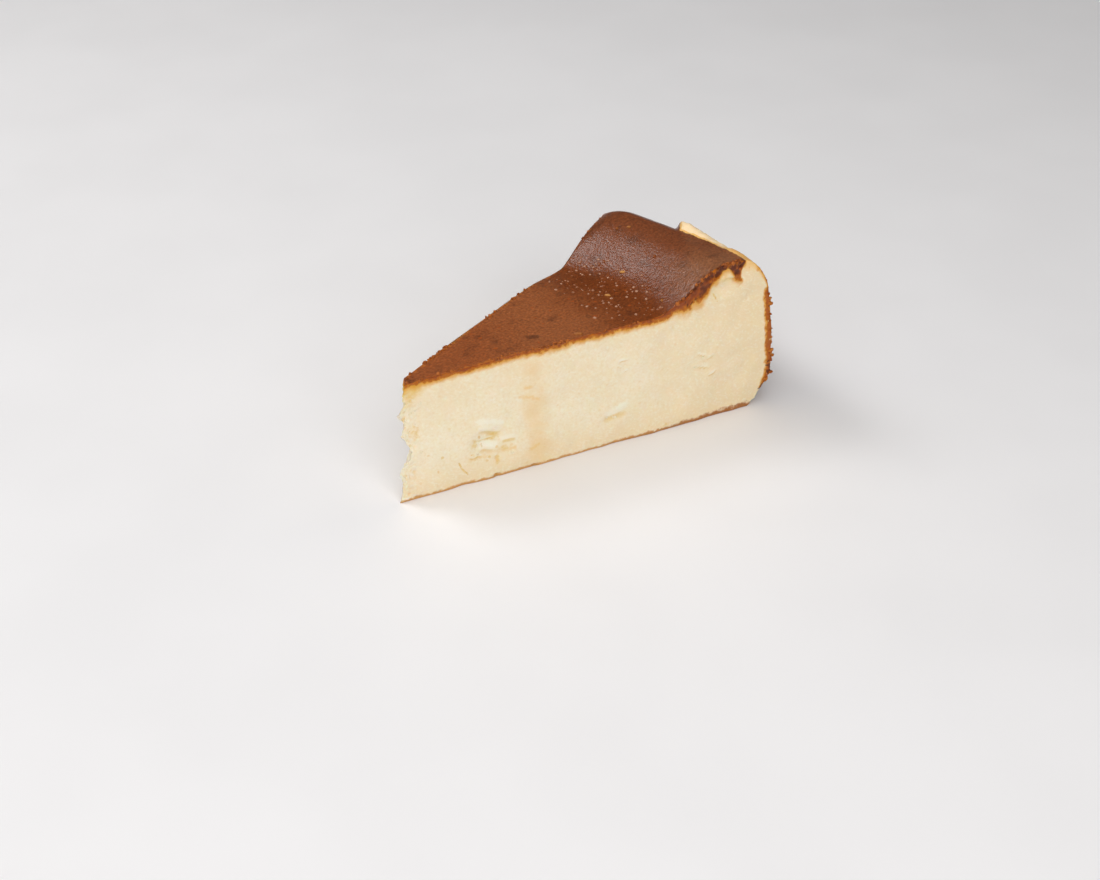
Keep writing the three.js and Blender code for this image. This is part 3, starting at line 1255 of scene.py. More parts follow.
@dataclass(frozen=True)
class Browning:
    """Where the slice is browned: the skin on its top, the crust on its side and base, and what is scorched.

    Sizes are in millimetres. Depths are pairs of a place along the slice, or up its side, and a depth there.
    """

    # The skin's lower edge on the cuts, which strays and drips where the near one climbs to the rim
    skin_depth: float = 1.15
    near_skin_depth: Pairs = (
        *((0.0, 0.9), (30.0, 1.1), (60.0, 1.1), (78.0, 1.3), (83.0, 2.2), (87.0, 4.0), (90.0, 5.0)),
        *((93.5, 4.3), (96.0, 2.7), (97.4, 1.2), (98.9, 1.1), (99.6, 3.8), (100.6, 5.0), (102.0, 5.6)),
        *((102.9, 4.6), (103.7, -1.0), (106.0, -1.0), (108.0, 0.3), (110.0, 0.9), (112.0, 1.5)),
    )
    skin_stray: float = 0.9
    stray_size: float = 1.8
    skin_drip: float = 1.1
    drip_size: float = 1.4
    drip_out: Fade = Fade(99.0, 97.0)
    stray_seed: int = 7
    climb_softness: float = 0.7
    # The golden band under the skin, the crust at the side and the film at the base, as the cuts show them
    gold_depth: Pairs = (
        *((0.0, 7.0), (5.0, 5.5), (12.0, 2.2), (30.0, 2.2), (80.0, 2.4)),
        *((88.0, 6.5), (100.0, 6.0), (102.0, 3.2), (106.0, 2.2), (112.0, 2.0)),
    )
    crust_depth: Pairs = (
        *((4.0, -1.0), (5.5, 0.8), (8.0, 1.4), (14.0, 2.0)),
        *((30.0, 1.9), (36.0, 1.6), (40.0, 0.5), (44.0, -1.0)),
    )
    base_depth: Pairs = ((0.0, 0.6), (30.0, 0.5), (60.0, 0.5), (85.0, 0.7), (108.0, 1.1))
    # The orange glow of the skin at the cuts, further in at the near one and furthest where that one climbs
    near_glow_inset: float = 0.6
    climb_glow_inset: float = 3.4
    # The scorched skin beside the near cut, the skin that the knife dragged there, and the burnt side
    scorch_depths: Span = (2.4, 5.5)
    corner_in: Fade = Fade(98.5, 100.0)
    scorch_edge: float = 0.8
    top_scorch_reach: float = 1.6
    unburnt: float = -2.0
    burnt_start: float = 5.0
    burnt_fall: float = 0.7
    burnt_out: Fade = Fade(13.0, 21.0)
    dragged_in: Fade = Fade(0.8, -0.8)
    top_dragged: float = 0.6
    top_dragged_in: Fade = Fade(2.0, 0.4)
    # The dark smudge around the dimple
    smudge_turn: float = math.radians(-40.0)
    smudge_half_sizes: Span = (3.6, 2.0)
    # Speckles on the skin, on the shoulder and in the crust
    specks_out: Fade = Fade(84.0, 74.0)
    shoulder_in: Fade = Fade(102.5, 105.0)
    shoulder_out: Fade = Fade(4.5, 1.5)
    crust_specks_in: Fade = Fade(0.0, -0.4)
    crust_foot: Fade = Fade(6.0, 8.0)

    def fields(self, form: SliceForm, at: SurfacePoints) -> dict[str, Array]:
        """Works out how far each point is from the browned edges, and how scorched and speckled it is.

        Args:
            form: The form of the slice.
            at: The points of the surface.

        Returns:
            The values of each field by its name.
        """
        near_top = at.top & at.near_half
        skin = self.skin_edge(at)
        under_crust = at.from_side - np.interp(at.height, *zip(*self.crust_depth))
        dragged = self.top_dragged * near_top * self.top_dragged_in.at(at.to_cut)
        scorched = np.where(at.near | near_top, self.scorched(at, skin), self.unburnt)
        burnt = 1.0 - self.burnt_fall * at.from_side + self.unburnt * self.burnt_out.at(at.height)
        inset = self.near_glow_inset + self.climb_glow_inset * at.climbing
        return {
            "under_skin": (at.depth - skin) / (1.0 + self.climb_softness * at.near * at.climbing),
            "under_gold": at.depth / np.interp(at.radius, *zip(*self.gold_depth)),
            "under_crust": under_crust,
            "over_base": at.height / np.interp(at.radius, *zip(*self.base_depth)),
            "edge_glow": at.to_cut + at.near_half * inset,
            "smear": np.where(at.near, self.dragged_in.at(at.depth - skin), dragged) * at.climbing,
            "scorch": scorched + self.unburnt * (1.0 - at.climbing),
            "burnt": np.where(at.height > self.burnt_start, burnt, self.unburnt),
            "smudge": self.smudge(form, at) * at.top,
            "speck_field": self.specks_out.at(at.radius),
            "shoulder_field": at.near * self.shoulder_in.at(at.radius) * self.shoulder_out.at(at.depth),
            "crumb_field": at.near * self.crust_specks_in.at(under_crust) * self.crust_foot.at(at.height),
        }

    def skin_edge(self, at: SurfacePoints) -> Array:
        """Gives the depth of the skin's lower edge on the cuts.

        Args:
            at: The points of the surface.

        Returns:
            The depth at each point.
        """
        size = self.stray_size
        stray = at.climbing * lattice_noise(at.radius / size, at.height / size, self.stray_seed)
        depth = np.interp(at.radius + self.skin_stray * stray, *zip(*self.near_skin_depth))
        drip = lattice_noise(at.radius / self.drip_size, np.zeros_like(at.radius), self.stray_seed)
        drip = at.climbing * drip * self.drip_out.at(at.radius)
        return np.where(at.near, depth + self.skin_drip * drip, self.skin_depth)

    def scorched(self, at: SurfacePoints, skin: Array) -> Array:
        """Says how scorched the near cut and the skin beside it are, up to 1 and negative where they aren't.

        Args:
            at: The points of the surface.
            skin: The depth of the skin's lower edge.

        Returns:
            The scorch at each point.
        """
        depth = mix(*self.scorch_depths, self.corner_in.at(at.radius))
        below = np.minimum(1.0 - at.depth / depth, (skin - at.depth) / self.scorch_edge)
        return np.where(at.near, below, 1.0 - at.to_cut / self.top_scorch_reach)

    def smudge(self, form: SliceForm, at: SurfacePoints) -> Array:
        """Says how much of the dark smudge around the dimple is at each point.

        Args:
            form: The form of the slice.
            at: The points of the surface.

        Returns:
            Shares from 0 to 1.
        """
        x, y = form.from_dimple(at.radius, at.angle)
        ahead, aside = math.cos(self.smudge_turn), math.sin(self.smudge_turn)
        length, width = self.smudge_half_sizes
        return patch((x * ahead + y * aside) / length, (y * ahead - x * aside) / width)


@dataclass(frozen=True)
class KnifeMarks:
    """What the knife left on the cuts: flaps, ochre hollows, a streak, and thin strokes. In millimetres.

    A stroke is a line of points, each a radius and a height. The flaps, the hollows under them and the
    strokes along the flaps' upper edges carry painted highlights and painted shadows.
    """

    streak: Pairs = ((40.0, 33.0), (41.6, 5.0))
    streak_half_width: float = 4.8
    streak_shares: Span = (0.7, 1.0)
    streak_deepens: Fade = Fade(26.0, 16.0)
    streak_fade: float = 5.0
    slits: tuple[Pairs, ...] = (((17.9, 8.0), (18.7, 5.8), (20.4, 3.4)), ((94.2, 41.2), (95.6, 38.4)))
    stains: tuple[Pairs, ...] = (
        ((36.3, 24.1), (38.6, 23.4), (41.3, 22.0)),
        ((37.6, 26.8), (39.4, 26.6)),
        ((39.0, 6.2), (41.4, 6.9)),
        ((21.2, 9.0), (23.4, 8.1), (25.8, 7.5)),
        ((31.1, 8.0), (34.2, 8.2)),
    )
    # Painted highlights along the upper edges of flaps
    flap_highlight_strokes: tuple[Pairs, ...] = (
        ((24.1, 19.8), (27.2, 19.1), (30.7, 17.8)),
        ((24.4, 12.0), (28.8, 10.8)),
        ((66.0, 12.4), (68.4, 13.0)),
    )
    nowhere_near: float = 9.0
    ochre_contrast: float = 1.4
    ochre_floor: float = -0.4
    tip_ochre_loss: float = 0.5
    flecked: Patch = Patch(20.0, 10.0, 18.0, 14.0)
    fleck_shares: Span = (0.35, 1.0)

    def fields(self, form: SliceForm, at: SurfacePoints) -> dict[str, Array]:
        """Works out which of the marks are at each point.

        Args:
            form: The form of the slice.
            at: The points of the surface.

        Returns:
            The values of each field by its name.
        """
        cuts = ((form.near_cut, at.near), (form.far_cut, at.far))
        # A flap's share is laid as a painted highlight, and the hollow under it as a painted shadow
        flap, painted_flap_shadow = sum(np.array(cut.dragged(at.radius, at.height)) * face for cut, face in cuts)
        ochre = sum(cut.ochre(at.radius, at.height) * face for cut, face in cuts)
        flecked = mix(*self.fleck_shares, self.flecked.cover(at.radius, at.height))
        return {
            "flap": flap,
            "painted_flap_shadow": painted_flap_shadow,
            "ochre": self.ochre_contrast * ochre + self.ochre_floor - self.tip_ochre_loss * at.tip,
            "streak": self.streak_cover(at) * at.near,
            "slit": self.stroke_distance(at, self.slits),
            "stain": self.stroke_distance(at, self.stains),
            "painted_flap_highlight": self.stroke_distance(at, self.flap_highlight_strokes),
            "fleck_field": at.cuts * flecked,
        }

    def streak_cover(self, at: SurfacePoints) -> Array:
        """Says how much of the peach-coloured streak is at each point.

        Args:
            at: The points of the surface.

        Returns:
            Shares from 0 to 1.
        """
        (top_radius, top), (low_radius, low) = self.streak
        middle = top_radius + (top - at.height) / (top - low) * (low_radius - top_radius)
        strength = mix(*self.streak_shares, self.streak_deepens.at(at.height))
        strength = strength * (1.0 - ease(at.height, top, top + self.streak_fade))
        return np.exp(-(((at.radius - middle) / self.streak_half_width) ** 2)) * strength

    def stroke_distance(self, at: SurfacePoints, strokes: tuple[Pairs, ...]) -> Array:
        """Gives the distance from each point of the near cut to the nearest of some strokes.

        Args:
            at: The points of the surface.
            strokes: The strokes.

        Returns:
            The distances, which are long where no stroke is near.
        """
        place = np.stack([at.radius, at.height], axis=-1)
        nearest = np.full(at.radius.shape, self.nowhere_near)
        for stroke in strokes:
            for start, end in zip(stroke[:-1], stroke[1:]):
                run = np.subtract(end, start)
                away = place - start
                share = np.clip(away @ run / (run @ run), 0.0, 1.0)
                nearest = np.minimum(nearest, np.hypot(*(away - share[:, None] * run).T))
        return np.where(at.near, nearest, self.nowhere_near)


@dataclass(frozen=True)
class ReliefLayer:
    """One layer of fine relief: where it is, what it is like, and how large and deep it is in millimetres."""

    name: str
    where: str
    grain: Grain
    size: float
    depth: float
    stretch: tuple[float, float, float] = (1.0, 1.0, 1.0)
    detail: float = 2.0
    seed: float = 0.0
    pit_rim: float = 0.34
    pit_floor: float = 0.12
    pits_kept: float = 0.4

    def pattern(self, tree: Tree, scale: Socket) -> Socket:
        """Adds the layer's pattern to the relief tree.

        Args:
            tree: The tree.
            scale: The socket with the texture scale of the layer.

        Returns:
            The socket with the pattern, about 0 and from -1 to 1 or so.
        """
        place = add_node(tree, "GeometryNodeInputPosition")[0]
        place = add_node(tree, "ShaderNodeVectorMath", {0: place, 1: self.stretch}, operation="DIVIDE")[0]
        inputs = {"Vector": place, "W": self.seed, "Scale": scale}
        if self.grain is Grain.ROLLING:
            inputs["Detail"] = self.detail
            noise = add_node(tree, "ShaderNodeTexNoise", inputs, noise_dimensions="4D")["Fac"]
            return add_node(tree, "ShaderNodeMath", {0: noise, 1: 2.0, 2: -1.0}, operation="MULTIPLY_ADD")[0]
        cells = add_node(tree, "ShaderNodeTexVoronoi", inputs, voronoi_dimensions="4D")
        lot = add_node(tree, "FunctionNodeSeparateColor", {0: cells["Color"]})[0]
        if self.grain is Grain.BLOCKS:
            return add_node(tree, "ShaderNodeMath", {0: lot, 1: 2.0, 2: -1.0}, operation="MULTIPLY_ADD")[0]
        inputs = {"From Min": self.pit_rim, "From Max": self.pit_floor, "To Max": -1.0}
        inputs["Value"] = cells["Distance"]
        pit = add_node(tree, "ShaderNodeMapRange", inputs, interpolation_type="SMOOTHSTEP")["Result"]
        inputs = {0: lot, 1: 1.0 - self.pits_kept}
        picked = add_node(tree, "ShaderNodeMath", inputs, operation="GREATER_THAN")[0]
        return add_node(tree, "ShaderNodeMath", {0: pit, 1: picked}, operation="MULTIPLY")[0]


@dataclass(frozen=True)
class FineRelief:
    """The relief that is too fine for the form: its layers, where each is found, and the finish of each zone.

    Sizes are in millimetres.
    """

    layers: tuple[ReliefLayer, ...] = (
        ReliefLayer("custard grain", "cut", Grain.ROLLING, 1.7, 0.1, detail=3.0, seed=1.0),
        ReliefLayer("custard pores", "cut", Grain.PITS, 3.0, 0.12, seed=2.0),
        ReliefLayer("torn crumb", "torn", Grain.ROLLING, 1.1, 0.2, (1.6, 1.6, 0.8), 2.0, 3.0),
        ReliefLayer("torn waves", "torn", Grain.ROLLING, 1.6, 0.5, (3.2, 3.2, 0.7), 2.0, 3.5),
        ReliefLayer("tip crags", "crag", Grain.ROLLING, 1.0, 0.6, detail=2.0, seed=4.0),
        ReliefLayer("tip blocks", "crag", Grain.BLOCKS, 1.1, 0.2, seed=4.5),
        ReliefLayer("side crust", "crust", Grain.ROLLING, 2.8, 0.9, detail=4.0, seed=5.0),
        ReliefLayer("side flakes", "crust", Grain.BLOCKS, 2.2, 0.3, seed=6.0),
        ReliefLayer("skin waves", "skin", Grain.ROLLING, 5.0, 0.1, detail=1.0, seed=7.0),
        ReliefLayer("skin wrinkles", "skin", Grain.ROLLING, 1.2, 0.05, detail=2.0, seed=7.5),
        ReliefLayer("skin pits", "skin_pit", Grain.PITS, 2.6, 0.12, seed=8.0),
        ReliefLayer("lip lumps", "lip", Grain.ROLLING, 2.2, 0.55, detail=3.0, seed=9.0),
        ReliefLayer("cut edge", "edge", Grain.ROLLING, 1.1, 0.4, detail=2.0, seed=10.0),
        ReliefLayer("dragged skin", "smear", Grain.ROLLING, 2.0, 0.6, detail=3.0, seed=11.0),
        ReliefLayer("dragged crumb", "smear", Grain.BLOCKS, 1.2, 0.3, seed=12.0),
    )
    top_crag: float = 0.3
    cut_in: Fade = Fade(6.0, 14.0)
    shoulder_crust: float = 0.7
    shoulder_crust_in: Fade = Fade(4.0, 0.5)
    skin_from_cut: Fade = Fade(0.0, 1.0)
    skin_from_side: Fade = Fade(1.0, 4.0)
    pits_from_cut: Fade = Fade(0.5, 2.0)
    pits_out: Fade = Fade(80.0, 70.0)
    lip_in: Fade = Fade(0.0, 1.0)
    edge_in: Fade = Fade(4.0, 10.0)
    edge_out: Fade = Fade(102.0, 98.0)

    def fields(self, form: SliceForm, at: SurfacePoints) -> dict[str, Array]:
        """Works out how strong each kind of relief is at each point.

        Args:
            form: The form of the slice.
            at: The points of the surface.

        Returns:
            The values of each field by its name.
        """
        skin = at.top * (at.past_skin < 0.0) * self.skin_from_cut.at(at.to_cut)
        shoulder = self.shoulder_crust * at.top * self.shoulder_crust_in.at(at.from_side)
        return {
            "torn": form.torn(at) * at.off_base,
            "crag": at.tip * at.off_base * np.where(at.top, self.top_crag, 1.0),
            "cut": at.cuts * at.off_base * self.cut_in.at(at.radius),
            "crust": np.where(at.side, 1.0, shoulder) * at.off_base,
            "skin": skin * self.skin_from_side.at(at.from_side),
            "skin_pit": at.top * self.pits_from_cut.at(at.to_cut) * self.pits_out.at(at.radius),
            "lip": at.top * self.lip_in.at(at.past_skin),
            "edge": (at.top & at.cuts) * self.edge_in.at(at.radius) * self.edge_out.at(at.radius),
        }

    def values(self) -> dict[str, float]:
        """Gives the tree's inputs: the depth and the size of each layer in metres."""
        depths = {f"{layer.name} depth": layer.depth * MM for layer in self.layers}
        return depths | {f"{layer.name} size": layer.size * MM for layer in self.layers}

    def tree(self) -> Tree:
        """Makes the tree that adds the relief and gives each zone its finish.

        Returns:
            The tree, with a depth and a size for each layer as named inputs.
        """
        tree, given = start_tree("crumb_relief", {name: "NodeSocketFloat" for name in self.values()})
        total: Any = 0.0
        for layer in self.layers:
            inputs = {0: 1.0, 1: given[f"{layer.name} size"]}
            scale = add_node(tree, "ShaderNodeMath", inputs, operation="DIVIDE")[0]
            inputs = {0: layer.pattern(tree, scale), 1: given[f"{layer.name} depth"]}
            deep = add_node(tree, "ShaderNodeMath", inputs, operation="MULTIPLY")[0]
            inputs = {"Name": layer.where}
            where = add_node(tree, "GeometryNodeInputNamedAttribute", inputs, data_type="FLOAT")[0]
            inputs = {0: deep, 1: where, 2: total}
            total = add_node(tree, "ShaderNodeMath", inputs, operation="MULTIPLY_ADD")[0]
        rise = add_node(tree, "ShaderNodeMath", {0: total, 1: 1.0 / MM}, operation="MULTIPLY")[0]
        inputs = {"Geometry": given["Geometry"], "Name": "rise", "Value": rise}
        shape = add_node(tree, "GeometryNodeStoreNamedAttribute", inputs, data_type="FLOAT")[0]
        normal = add_node(tree, "GeometryNodeInputNormal")[0]
        shift = add_node(tree, "ShaderNodeVectorMath", {0: normal, "Scale": total}, operation="SCALE")[0]
        shape = add_node(tree, "GeometryNodeSetPosition", {"Geometry": shape, "Offset": shift})[0]
        shape = add_node(tree, "GeometryNodeRealizeInstances", {0: shape})[0]
        zone = add_node(tree, "GeometryNodeInputNamedAttribute", {"Name": "zone"}, data_type="INT")[0]
        finishes = {
            Zone.TOP: BrownedSkin(),
            Zone.LIP: BareLip(),
            Zone.CUT: BakedCustard(),
            Zone.SIDE: BrownedSide(),
            Zone.BASE: BakedBase(),
        }
        for key, finish in finishes.items():
            inputs = {"A_INT": zone, "B_INT": key.value}
            chosen = add_node(tree, "FunctionNodeCompare", inputs, data_type="INT", operation="EQUAL")[0]
            inputs = {"Geometry": shape, "Selection": chosen, "Material": finish.material()}
            shape = add_node(tree, "GeometryNodeSetMaterial", inputs)[0]
        add_node(tree, "NodeGroupOutput", {0: shape})
        return tree


@dataclass(frozen=True)
class CrumbPlaces:
    """Where each kind of loose crumb lies. In millimetres, and in shares of the kind's own density."""

    valley_in: Fade = Fade(60.0, 70.0)
    valley_out: Fade = Fade(86.0, 79.0)
    blisters_from_cut: Fade = Fade(1.5, 4.0)
    # The crumbs along the top's edges lie in clusters, thicker at the tip and where the near edge climbs
    edge_in: Fade = Fade(1.0, 0.3)
    edge_end: float = -1.0
    cluster_size: float = 6.0
    cluster_rows: float = 3.0
    cluster_seed: int = 7
    cluster_in: Fade = Fade(-0.25, 0.5)
    tip_clusters: float = 0.5
    tip_clusters_in: Fade = Fade(45.0, 15.0)
    # The crust's crumbs: how many at the cuts and between them, and how many on the shoulder
    side_shares: Span = (4.0, 0.6)
    side_from_cut: Fade = Fade(0.3, 2.5)
    side_foot: Fade = Fade(4.0, 8.0)
    shoulder_share: float = 0.7
    shoulder_in: Fade = Fade(3.5, 0.5)
    shoulder_from_cut: Fade = Fade(1.0, 5.0)
    tip_share: float = 0.8
    custard_below: float = 3.0

    def fields(self, form: SliceForm, at: SurfacePoints) -> dict[str, Array]:
        """Works out how thickly each kind lies at each point.

        Args:
            form: The form of the slice.
            at: The points of the surface.

        Returns:
            The values of each field by its name.
        """
        valley = self.valley_in.at(at.radius) * self.valley_out.at(at.radius)
        rows = self.cluster_rows * at.across
        clusters = lattice_noise(at.radius / self.cluster_size, rows, self.cluster_seed)
        at_tip = self.tip_clusters * self.tip_clusters_in.at(at.radius)
        near_top = at.top & at.near_half
        clusters = np.maximum(self.cluster_in.at(clusters), at_tip) + near_top * at.climbing
        side = self.side_foot.at(at.height) * mix(*self.side_shares, self.side_from_cut.at(at.to_cut))
        shoulder = self.shoulder_share * at.top * self.shoulder_in.at(at.from_side)
        shoulder = shoulder * self.shoulder_from_cut.at(at.to_cut)
        torn = form.torn(at) + self.tip_share * at.tip
        return {
            "blister_field": at.top * valley * self.blisters_from_cut.at(at.to_cut),
            "edge_field": at.top * self.edge_in.at(at.to_cut) * (at.past_skin < self.edge_end) * clusters,
            "crust_field": np.where(at.side, side, shoulder),
            "custard_field": torn * at.off_base * (at.depth > self.custard_below),
        }


@dataclass
class CheesecakeSlice:
    """The slice itself: its closed mesh and the fields that its relief, its finishes and its crumbs read."""

    form: SliceForm
    browning: Browning = Browning()
    marks: KnifeMarks = KnifeMarks()
    relief: FineRelief = FineRelief()
    crumbs: CrumbPlaces = CrumbPlaces()
    length_steps: int = 264
    angle_steps: int = 100
    height_steps: int = 88
    crowding: float = 0.45
    lip_start: float = 0.6

    def build(self) -> bpy.types.Object:
        """Builds the slice's mesh and gives it its relief and finishes.

        Returns:
            The finished piece.
        """
        ids, points = self.lattice()
        faces, zones = self.faces(ids, points.past_skin)
        mesh = bpy.data.meshes.new("slice")
        mesh.from_pydata(points.places.tolist(), [], faces)
        for name, values in self.fields(points).items():
            layer = mesh.attributes.new(name, "FLOAT", "POINT")
            layer.data.foreach_set("value", values.astype(np.float32))
        mesh.attributes.new("zone", "INT", "FACE").data.foreach_set("value", zones)
        mesh.shade_smooth()
        piece = new_piece("slice", mesh)
        apply_tree(piece, self.relief.tree(), self.relief.values())
        return piece

    def lattice(self) -> tuple[Array, SurfacePoints]:
        """Lays out the points of the surface.

        Returns:
            The number of each point by its steps along, across and up, and the points.
        """
        steps = (self.length_steps, self.angle_steps, self.height_steps)
        i, j, k = np.meshgrid(*(np.arange(n + 1) for n in steps), indexing="ij")
        shown = (i == 0) | (i == steps[0]) | (j == 0) | (j == steps[1]) | (k == steps[2])
        ids = np.full(i.shape, -1)
        ids[shown] = np.arange(np.count_nonzero(shown))
        along, across, up = (n[shown] / step for n, step in zip((i, j, k), steps))
        return ids, self.form.points(self.crowd(along), across, self.crowd(up))

    def crowd(self, share: Array) -> Array:
        """Crowds evenly spaced shares towards 0 and 1, where the edges of the slice are."""
        return mix(share, ease(share, 0.0, 1.0), self.crowding)

    def faces(self, ids: Array, past_skin: Array) -> tuple[list[list[int]], list[int]]:
        """Lists the faces of the closed surface, pointing outwards.

        Args:
            ids: The number of each point by its steps along, across and up.
            past_skin: How far each point is past the torn edge of the skin.

        Returns:
            The points of each face, and the zone of each face.
        """
        sides = (
            (ids[:, :, -1], False, Zone.TOP),
            (ids[:, 0, :], False, Zone.CUT),
            (ids[:, -1, :], True, Zone.CUT),
            (ids[-1, :, :], False, Zone.SIDE),
            (ids[0, :, :], True, Zone.CUT),
        )
        faces: list[list[int]] = []
        zones: list[int] = []
        for grid, turned, zone in sides:
            corners = [grid[:-1, :-1], grid[1:, :-1], grid[1:, 1:], grid[:-1, 1:]]
            quads = np.stack(corners[::-1] if turned else corners, axis=-1).reshape(-1, 4)
            bare = (past_skin[quads].mean(axis=1) > self.lip_start) & (zone is Zone.TOP)
            faces += quads.tolist()
            zones += np.where(bare, Zone.LIP.value, zone.value).tolist()
        near, far = ids[:, 0, 0], ids[:, -1, 0]
        strips = np.stack([near[1:-2], far[1:-2], far[2:-1], near[2:-1]], axis=-1).tolist()
        tip_end = [*ids[0, :, 0].tolist(), int(far[1]), int(near[1])]
        side_end = [*ids[-1, ::-1, 0].tolist(), int(near[-2]), int(far[-2])]
        base = [*strips, tip_end, side_end]
        return faces + base, zones + [Zone.BASE.value] * len(base)

    def fields(self, points: SurfacePoints) -> dict[str, Array]:
        """Works out what the relief, the finishes and the crumbs need to know at each point.

        Args:
            points: The points of the surface.

        Returns:
            The values of each field by its name.
        """
        measures = ("radius", "height", "across", "to_cut", "from_side", "past_skin")
        fields = {name: getattr(points, name) for name in measures}
        for source in (self.browning, self.marks, self.relief, self.crumbs):
            fields |= source.fields(self.form, points)
        return fields


@dataclass(frozen=True)
class Crumbs:
    """Small grains of one kind as one piece: how large in millimetres, how ragged, and their finish."""

    name: str
    largest: float
    raggedness: float
    finish: CrumbFinish
    segments: ClassVar[int] = 8
    rings: ClassVar[int] = 5
    pull_share: ClassVar[float] = 0.6

    def grow(self, tree: Tree, points: Any, facing: Any, scale: Any, raggedness: Any) -> Tree:
        """Puts a grain on each point and ends the tree.

        Args:
            tree: The tree.
            points: The socket with the points, which have a tone each.
            facing: The socket with the turn of each grain.
            scale: The socket with the half sizes of each grain.
            raggedness: The socket with how far the grains are pulled out of round.

        Returns:
            The finished tree.
        """
        inputs = {"Radius": 1.0, "Segments": self.segments, "Rings": self.rings}
        ball = add_node(tree, "GeometryNodeMeshUVSphere", inputs)["Mesh"]
        inputs = {"Points": points, "Instance": ball, "Rotation": facing, "Scale": scale}
        grains = add_node(tree, "GeometryNodeInstanceOnPoints", inputs)[0]
        grains = add_node(tree, "GeometryNodeRealizeInstances", {0: grains})[0]
        place = add_node(tree, "GeometryNodeInputPosition")[0]
        inputs = {"Vector": place, "Scale": per_metre(self.largest * self.pull_share)}
        pull = add_node(tree, "ShaderNodeTexNoise", inputs)["Color"]
        inputs = {0: pull, 1: (NOISE_MIDDLE,) * 3}
        pull = add_node(tree, "ShaderNodeVectorMath", inputs, operation="SUBTRACT")[0]
        pull = add_node(tree, "ShaderNodeVectorMath", {0: pull, "Scale": raggedness}, operation="SCALE")[0]
        grains = add_node(tree, "GeometryNodeSetPosition", {"Geometry": grains, "Offset": pull})[0]
        grains = add_node(tree, "GeometryNodeSetShadeSmooth", {"Geometry": grains})[0]
        inputs = {"Geometry": grains, "Material": self.finish.material()}
        grains = add_node(tree, "GeometryNodeSetMaterial", inputs)[0]
        add_node(tree, "NodeGroupOutput", {0: grains})
        return tree


@dataclass(frozen=True)
class ScatteredCrumbs(Crumbs):
    """Grains scattered over a surface where one of its fields says so.

    Their length, width and thickness vary from the shortest, narrowest and thinnest, as shares of their size.
    """

    where: str
    per_square_cm: float
    smallest: float
    flatness: float
    seed: int
    longest: float = 1.3
    shortest: float = 0.75
    narrowest: float = 0.6
    thinnest: float = 0.6
    shape_seed: ClassVar[int] = 1
    turn_seed: ClassVar[int] = 2
    tone_seed: ClassVar[int] = 3

    def build(self, surface: bpy.types.Object) -> bpy.types.Object:
        """Scatters the grains.

        Args:
            surface: The piece that they lie on.

        Returns:
            The grains as one piece.
        """
        piece = new_piece(self.name, surface.data.copy())
        values = {
            "Density": self.per_square_cm * SQUARE_CM_PER_SQUARE_M,
            "Smallest": self.smallest * MM / 2,
            "Largest": self.largest * MM / 2,
            "Raggedness": self.raggedness * MM,
            "Seed": self.seed,
        }
        apply_tree(piece, self.tree(), values)
        return piece

    def tree(self) -> Tree:
        """Makes the tree that scatters the grains.

        Returns:
            The tree, with its sizes as named inputs.
        """
        sizes = ("Density", "Smallest", "Largest", "Raggedness")
        sockets = {size: "NodeSocketFloat" for size in sizes} | {"Seed": "NodeSocketInt"}
        tree, given = start_tree(self.name, sockets)
        inputs = {"Name": self.where}
        where = add_node(tree, "GeometryNodeInputNamedAttribute", inputs, data_type="FLOAT")[0]
        density = add_node(tree, "ShaderNodeMath", {0: where, 1: given["Density"]}, operation="MULTIPLY")[0]
        inputs = {"Mesh": given["Geometry"], "Density": density, "Seed": given["Seed"]}
        spread = add_node(tree, "GeometryNodeDistributePointsOnFaces", inputs)
        inputs = {"Min_001": given["Smallest"], "Max_001": given["Largest"], "Seed": given["Seed"]}
        size = add_node(tree, "FunctionNodeRandomValue", inputs, data_type="FLOAT")[1]
        least = (self.shortest, self.narrowest, self.flatness * self.thinnest)
        inputs = {"Min": least, "Max": (self.longest, 1.0, self.flatness), "Seed": self.shape_seed}
        shape = add_node(tree, "FunctionNodeRandomValue", inputs, data_type="FLOAT_VECTOR")[0]
        scale = add_node(tree, "ShaderNodeVectorMath", {0: shape, "Scale": size}, operation="SCALE")[0]
        inputs = {"Min_001": 0.0, "Max_001": math.tau, "Seed": self.turn_seed}
        turn = add_node(tree, "FunctionNodeRandomValue", inputs, data_type="FLOAT")[1]
        spin = add_node(tree, "FunctionNodeAxisAngleToRotation", {"Axis": UP, "Angle": turn})[0]
        inputs = {"Rotation": spread["Rotation"], "Rotate By": spin}
        facing = add_node(tree, "FunctionNodeRotateRotation", inputs, rotation_space="LOCAL")[0]
        tone = add_node(tree, "FunctionNodeRandomValue", {"Seed": self.tone_seed}, data_type="FLOAT")[1]
        inputs = {"Geometry": spread["Points"], "Name": "tone", "Value": tone}
        points = add_node(tree, "GeometryNodeStoreNamedAttribute", inputs, data_type="FLOAT")[0]
        return self.grow(tree, points, facing, scale, given["Raggedness"])


@dataclass(frozen=True)
class Grit:
    """One larger grain on the skin: its place, its sizes in millimetres, its turn in degrees and its tone."""

    radius: float
    angle: float
    length: float
    width: float
    height: float
    turn: float
    tone: float


